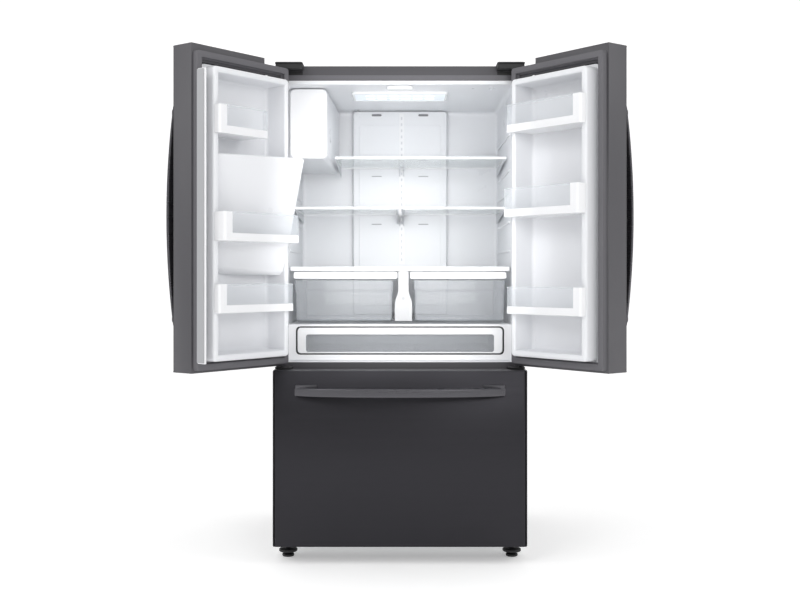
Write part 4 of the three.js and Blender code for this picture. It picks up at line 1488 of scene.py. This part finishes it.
    def crisper_cover(self) -> None:
        """Glass cover, its front lip, and the centre post and divider, the post greyed and a grey disc on
        it as painted shade.
        """
        x, y, z = self.place.span("crisper_cover")
        top = z[1]
        glass = Mould(self.place)
        glass.block(((x[0] + 8, x[1] - 8), (y[0] + 13, y[1] - 4), (top - 7, top - 1.5)), 0.8, Axis.Z, 4)
        glass.piece("crisper_cover_glass", GLASS, "clear_plastic", ["crisper_cover"])
        rim = Mould(self.place)
        rim.block((x, (y[0] + 2, y[0] + 14), (top - 17, top)), 3.5, Axis.X, 4)
        for side in ((x[0], x[0] + 12), (x[1] - 12, x[1])):
            rim.block((side, (y[0] + 6, y[1]), (top - 9, top)), 2.0, Axis.Y, 2.5)
        rim.block((x, (y[1] - 12, y[1]), (top - 9, top)), 2.0, Axis.X, 2.5)
        rim.block(((11, 19), (y[0] + 9, y[1] - 6), (860, top - 8)), 1.0, Axis.Y, 2)
        rim.piece("crisper_cover_rim", WHITE_TRIM, "white_plastic")
        half = [(33, 858), (33, 926), (31, 938), (24, 954), (20.5, 968), (20, 980), (20, top - 18)]
        levels = []
        for share, level in ((0.94, y[0]), (1.0, y[0] + 2), (1.0, y[0] + 10)):
            outline = [(self.middle + a * share, b) for a, b in half]
            outline += [(self.middle - a * share, b) for a, b in reversed(half)]
            levels.append((outline, level))
        # The post is white plastic; its grey finish is painted shade.
        post = Mould(self.place).stack(levels)
        post.piece("crisper_post", SHADED_POST_GREY, "white_plastic")
        # A grey disc standing proud of the post, painted as the shade inside its hole.
        hole_shade = Mould(self.place)
        dimple = [(0, y[0] - 0.5), (5, y[0] - 0.5), (6, y[0] + 0.3), (6, y[0] + 3)]
        hole_shade.rod((self.middle, 943), Axis.Y, dimple, 20)
        hole_shade.piece("crisper_post_hole_shade", MULLION_GREY_AND_HOLE_SHADE, "grey_plastic")

    def pantry_housing(self) -> None:
        """The white frame round the pantry drawer, with its roof and side cheeks, and a black ring painted
        as the shadow in the gap.
        """
        x, y, z = self.place.span("pantry_housing")
        outer = round_rect(x, (z[0], 848.0), 16)
        inner = round_rect(self.pantry_x, self.pantry_z, 16)
        front = y[0]
        outer_in = round_rect(grow(x, -1.5), (z[0] + 1.5, 846.5), 15)
        inner_out = round_rect(grow(self.pantry_x, 2), grow(self.pantry_z, 2), 17)
        stack = [(outer, front + 16), (outer, front + 2), (outer_in, front + 0.4), (inner_out, front + 0.4),
                 (inner, front + 3), (inner, front + 16)]
        face = Mould(self.place).stack(stack, closed=True)
        face.piece("pantry_frame", WHITE_TRIM, "white_plastic", ["pantry_housing"])
        # A black ring just inside the opening, painted as the shadow in the gap round the drawer.
        trim = Mould(self.place)
        ring = [(-1.0, front + 0.2), (2.4, front + 0.2), (2.4, front + 12), (-1.0, front + 12)]
        trim.ring(self.pantry_x, (self.pantry_z[0], self.pantry_z[1] - 0.4), 14.0, Axis.Y, ring)
        trim.piece("pantry_gap_shade", BLACK, "black_plastic")
        box = Mould(self.place)
        box.block((x, (front + 8, y[1]), (843, 847)), 1.0, Axis.Z, 4)
        for cheek in ((x[0], x[0] + 12), (x[1] - 12, x[1])):
            box.block((cheek, (front + 16.5, y[1]), (z[0] + 0.2, 842.8)), 1.0, Axis.Y, 2)
        box.piece("pantry_roof", WHITE_TRIM, "white_plastic")


@dataclass
class Crisper:
    """A clear vegetable drawer with a white handle bar."""

    name: str
    rim: float = 1010.0
    foot: float = 8.0
    wall: float = 3.0

    def build(self) -> None:
        """Makes the drawer and its bar inside the CAD crisper's box."""
        body = f"{self.name.split('_')[1]}_crisper"
        place = cabinet_place(body)
        x, y, z = place.span(self.name)
        bar_z = (z[1] - 26, z[1])
        tub_x = (-396.0, -24.0) if self.name.endswith("left") else (50.0, 396.0)
        front = y[0] + 4
        tub = Mould(place)
        rim, foot, draft, w = self.rim, self.foot, 6.0, self.wall
        outer = [*heel(draft, z[0], foot, foot), (4.5, 964), (3.5, 970), (1.2, 972)]
        lip = [(1.0, rim - 2), (1.6, rim), (3.4, rim), (4.0, rim - 2)]
        inner = [(4.2, 973), (6.5, 970.5), (7.5, 964), (draft + w, z[0] + w + foot)]
        floor = reversed(heel(draft + w, z[0] + w, foot, foot * 0.9))
        profile = [*outer, *lip, *inner, *floor]
        tub.dish(tub_x, (front, y[1]), 18.0, Axis.Z, profile)
        tub.piece(f"{self.name}_tub", CRISPER_CLEAR, "clear_plastic", [self.name])
        bar = Mould(place)
        bar.block((x, (y[0], y[0] + 7), bar_z), 2.4, Axis.Y, 7)
        bar.block((grow(x, -18), (y[0] + 5, y[0] + 24), (bar_z[1] - 8, bar_z[1] - 2)), 2.0, Axis.X, 2.5)
        bar.piece(f"{self.name}_bar", WHITE_TRIM, "white_plastic")


@dataclass
class PantryDrawer:
    """The wide flat drawer: white frame with a clear window, and a clear tub."""

    def build(self) -> None:
        """Makes the front frame, its window and the tub."""
        place = cabinet_place("pantry")
        x, y, z = place.span("pantry_drawer")
        front = y[0]
        outer = round_rect(grow(x, -0.8), grow(z, -0.8), 13)
        outer_in = round_rect(grow(x, -2.3), grow(z, -2.3), 12)
        hole_x, hole_z = (x[0] + 32, x[1] - 32), (z[0] + 6, z[1] - 26)
        inner = round_rect(hole_x, hole_z, 8)
        inner_out = round_rect(grow(hole_x, 1.2), grow(hole_z, 1.2), 9)
        stack = [(outer, front + 10), (outer, front + 1.6), (outer_in, front), (inner_out, front),
                 (inner, front + 1.6), (inner, front + 10)]
        face = Mould(place).stack(stack, closed=True)
        face.piece("pantry_drawer_front", WHITE_TRIM, "white_plastic", ["pantry_drawer"])
        window = Mould(place)
        window.block((grow(hole_x, -0.2), (front + 3, front + 6), grow(hole_z, -0.2)), 0.6, Axis.Y, 8)
        window.piece("pantry_drawer_window", CRISPER_CLEAR, "clear_plastic")
        tub = Mould(place)
        deep = (front + 11, y[1])
        walls = [(3, z[1] - 8), (1, z[1] - 5), (1, z[1] - 4), (4, z[1] - 4.3), (7, z[0] + 12)]
        profile = [*heel(5, z[0] + 2, 6, 6), *walls, *reversed(heel(8, z[0] + 5, 6, 5))]
        tub.dish(grow(x, -4), deep, 14.0, Axis.Z, profile)
        tub.piece("pantry_drawer_tub", CRISPER_CLEAR, "clear_plastic")


@dataclass
class IceMaker:
    """The ice maker's tapered housing and the bucket with its round-cornered front."""

    taper: float = 14.0

    def build(self) -> None:
        """Makes the housing, the front and the bucket."""
        self.housing()
        place = cabinet_place("ice_bin")
        x, y, z = place.span("ice_bucket")
        front_x, front_z = (x[0], x[1] - self.taper + 1.5), (z[0] + 3, z[1])
        face = Mould(place)
        front = y[0]
        soft = [(9, front), (4.5, front + 0.5), (2, front + 1.6), (0.5, front + 3.6), (0, front + 6),
                (0, front + 12)]
        face.dish(front_x, front_z, 22.0, Axis.Y, soft)
        face.piece("ice_bucket_front", WHITE_TRIM, "white_plastic", ["ice_bucket"])
        tub = Mould(place)
        low, high = z[0] + 13.5, 1588.0
        walls = [(0.5, high - 2), (1.2, high), (2.8, high), (3.5, high - 2), (5, low + 9)]
        profile = [*heel(2, low, 6, 6), *walls, *reversed(heel(6, low + 3, 6, 6))]
        tub.dish((-403, -284), (front + 12.3, y[1]), 14.0, Axis.Z, profile)
        tub.piece("ice_bucket_tub", PALE_GREY_AND_SLOT_SHADE, "white_plastic")

    def housing(self) -> None:
        """The housing: an open-fronted shell whose free side runs outwards towards the back."""
        place = cabinet_place("cabinet")
        x, y, z = place.span("ice_maker_housing")
        wall = 7.0
        near, far = (x[0], x[1] - self.taper), x
        inner_near, inner_far = (near[0] + wall, near[1] - wall), (far[0] + wall, far[1] - wall)
        shell = [
            (inner_far, (z[0] + 5 + wall, z[1] - wall), 12.0, y[1] - wall),
            (inner_near, (z[0] + 5 + wall, z[1] - wall), 14.0, y[0] + 1),
            (grow(inner_near, 1.5), (z[0] + 3.5 + wall, z[1] - wall + 1.5), 15.0, y[0]),
            (grow(near, -1.5), (z[0] + 6.5, z[1] - 1.5), 19.0, y[0]),
            (near, (z[0] + 5, z[1]), 20.0, y[0] + 2),
            (far, z, 14.0, y[1]),
        ]
        levels = [(round_rect(across, up, radius), level) for across, up, radius, level in shell]
        housing = Mould(place).stack(levels)
        housing.piece("ice_maker_shell", WHITE, "white_plastic", ["ice_maker_housing"])


# ---- Studio


@dataclass
class Studio:
    """Pale floor, soft lights and the camera."""

    eye: float = 1026.0
    distance: float = 4068.0
    focal: float = 49.98
    shift: float = -0.02975
    fill_spot: Point = (0.0, -430.0, 1265.0)  # between the open doors
    fill_size: Flat = (640.0, 760.0)
    fill_spread: float = 100.0  # degrees

    def build(self) -> None:
        """Makes the stage, the lights and the camera."""
        self.floor()
        self.world()
        for name, spot, size, power in (
            ("key", (-2.2, -3.6, 3.6), (1.8, 1.8), 34.0),
            ("front", (1.3, -4.6, 2.3), (1.6, 1.2), 30.0),
            ("left wall", (-3.8, -1.6, 3.4), (2.2, 1.8), 22.0),
            ("right wall", (3.8, -1.6, 3.4), (2.2, 1.8), 22.0),
            ("top", (0.0, 0.3, 3.9), (3.2, 2.4), 14.0),
        ):
            self.lamp(name, spot, size, power)
        self.room_lamps()
        self.camera()

    def room_lamps(self) -> None:
        """The glow of the ceiling light, and an even fill on the shelves and walls."""
        place = cabinet_place("cabinet")
        x, y, z = place.span("light_lens")
        down = place.matrix @ Vector((0, sum(y) / 2, z[0] - 3))
        back_and_down, ahead = (math.radians(12), 0, 0), (math.radians(86), 0, 0)
        self.panel("ceiling glow", down, back_and_down, (x[1] - x[0], y[1] - y[0]), 0.25)
        front = place.matrix @ Vector(self.fill_spot)
        spread = math.radians(self.fill_spread)
        self.panel("room fill", front, ahead, self.fill_size, 2.9, spread)

    def panel(self, name: str, spot: Vector, turn: Point, size: Flat, power: float,
              spread: float = math.pi) -> None:
        """A flat lamp with its size in millimetres.

        Args:
            name: of the lamp.
            spot: where it stands, in metres.
            turn: its rotation.
            size: of its face.
            power: in watts.
            spread: the angle that it lights, in radians.
        """
        data = bpy.data.lights.new(name, "AREA")
        data.spread = spread
        data.shape = "RECTANGLE"
        data.size, data.size_y = (side * MM for side in size)
        data.energy = power
        lamp = bpy.data.objects.new(name, data)
        lamp.location = spot
        lamp.rotation_euler = turn
        bpy.context.scene.collection.objects.link(lamp)

    def floor(self) -> None:
        """A wide pale floor that curves up behind."""
        half, deep, rise, turn = 9.0, 6.0, 6.0, 1.5
        profile = [(-half, 0.0), (deep - turn, 0.0)]
        profile += [(deep - turn + turn * s, turn - turn * c) for c, s in arc(12)[1:]]
        profile.append((deep, rise))
        sheet = bpy.data.meshes.new("floor")
        verts = [(x, y, z) for y, z in profile for x in (-half, half)]
        faces = [(2 * i, 2 * i + 1, 2 * i + 3, 2 * i + 2) for i in range(len(profile) - 1)]
        sheet.from_pydata(verts, [], faces)
        stage = bpy.data.objects.new("floor", sheet)
        bpy.context.scene.collection.objects.link(stage)
        sheet.shade_smooth()
        paper = Plastic("studio floor", (0.93, 0.93, 0.93), roughness=0.9, relief=0.0, glow=0.32)
        sheet.materials.append(paper.material())

    def world(self) -> None:
        """A soft surround, brighter at the sides than in front, that shows white itself."""
        world = bpy.data.worlds.new("studio")
        world.use_nodes = True
        world.node_tree.nodes.clear()
        nodes = Nodes(world.node_tree)
        direction = nodes.make("ShaderNodeTexCoord")
        parts = nodes.make("ShaderNodeSeparateXYZ", Vector=direction.outputs["Generated"])
        sideways = nodes.math("ABSOLUTE", parts.outputs["X"], 0.0)
        glow = nodes.remap(sideways, (0.25, 0.85), (0.55, 0.78))
        path = nodes.make("ShaderNodeLightPath")
        seen = nodes.math("MAXIMUM", glow, path.outputs["Is Camera Ray"])
        background = nodes.make("ShaderNodeBackground", Color=(1.0, 1.0, 1.0, 1.0), Strength=seen)
        out = nodes.make("ShaderNodeOutputWorld")
        nodes.feed(out.inputs["Surface"], background.outputs[0])
        bpy.context.scene.world = world
        bpy.context.scene.view_settings.view_transform = "Standard"

    def lamp(self, name: str, spot: Point, size: Flat, power: float) -> None:
        """A large soft lamp that points at the middle of the refrigerator.

        Args:
            name: of the lamp.
            spot: where it hangs, in metres.
            size: of its face, in metres.
            power: in watts.
        """
        aim = Vector((0, 0, 1.0)) - Vector(spot)
        turn = aim.to_track_quat("-Z", "Y").to_euler()
        self.panel(name, Vector(spot), tuple(turn), (size[0] / MM, size[1] / MM), power)

    def camera(self) -> None:
        """The camera, straight in front of the refrigerator."""
        data = bpy.data.cameras.new("camera")
        data.lens = self.focal
        data.sensor_width = 36.0
        data.shift_y = self.shift
        camera = bpy.data.objects.new("camera", data)
        camera.location = (0, (CASE_FRONT - self.distance) * MM, self.eye * MM)
        camera.rotation_euler = (math.pi / 2, 0, 0)
        bpy.context.scene.collection.objects.link(camera)
        bpy.context.scene.camera = camera


def main() -> None:
    """Builds every sub-assembly in order."""
    logging.basicConfig(level=logging.INFO, format="%(message)s")
    Studio().build()
    Case().build()
    FreshFoodRoom().build()
    for name in ("crisper_left", "crisper_right"):
        Crisper(name).build()
    PantryDrawer().build()
    IceMaker().build()
    FreezerDrawer().build()
    LeftDoor().build()
    Door(1).build()


if __name__ == "__main__":
    main()
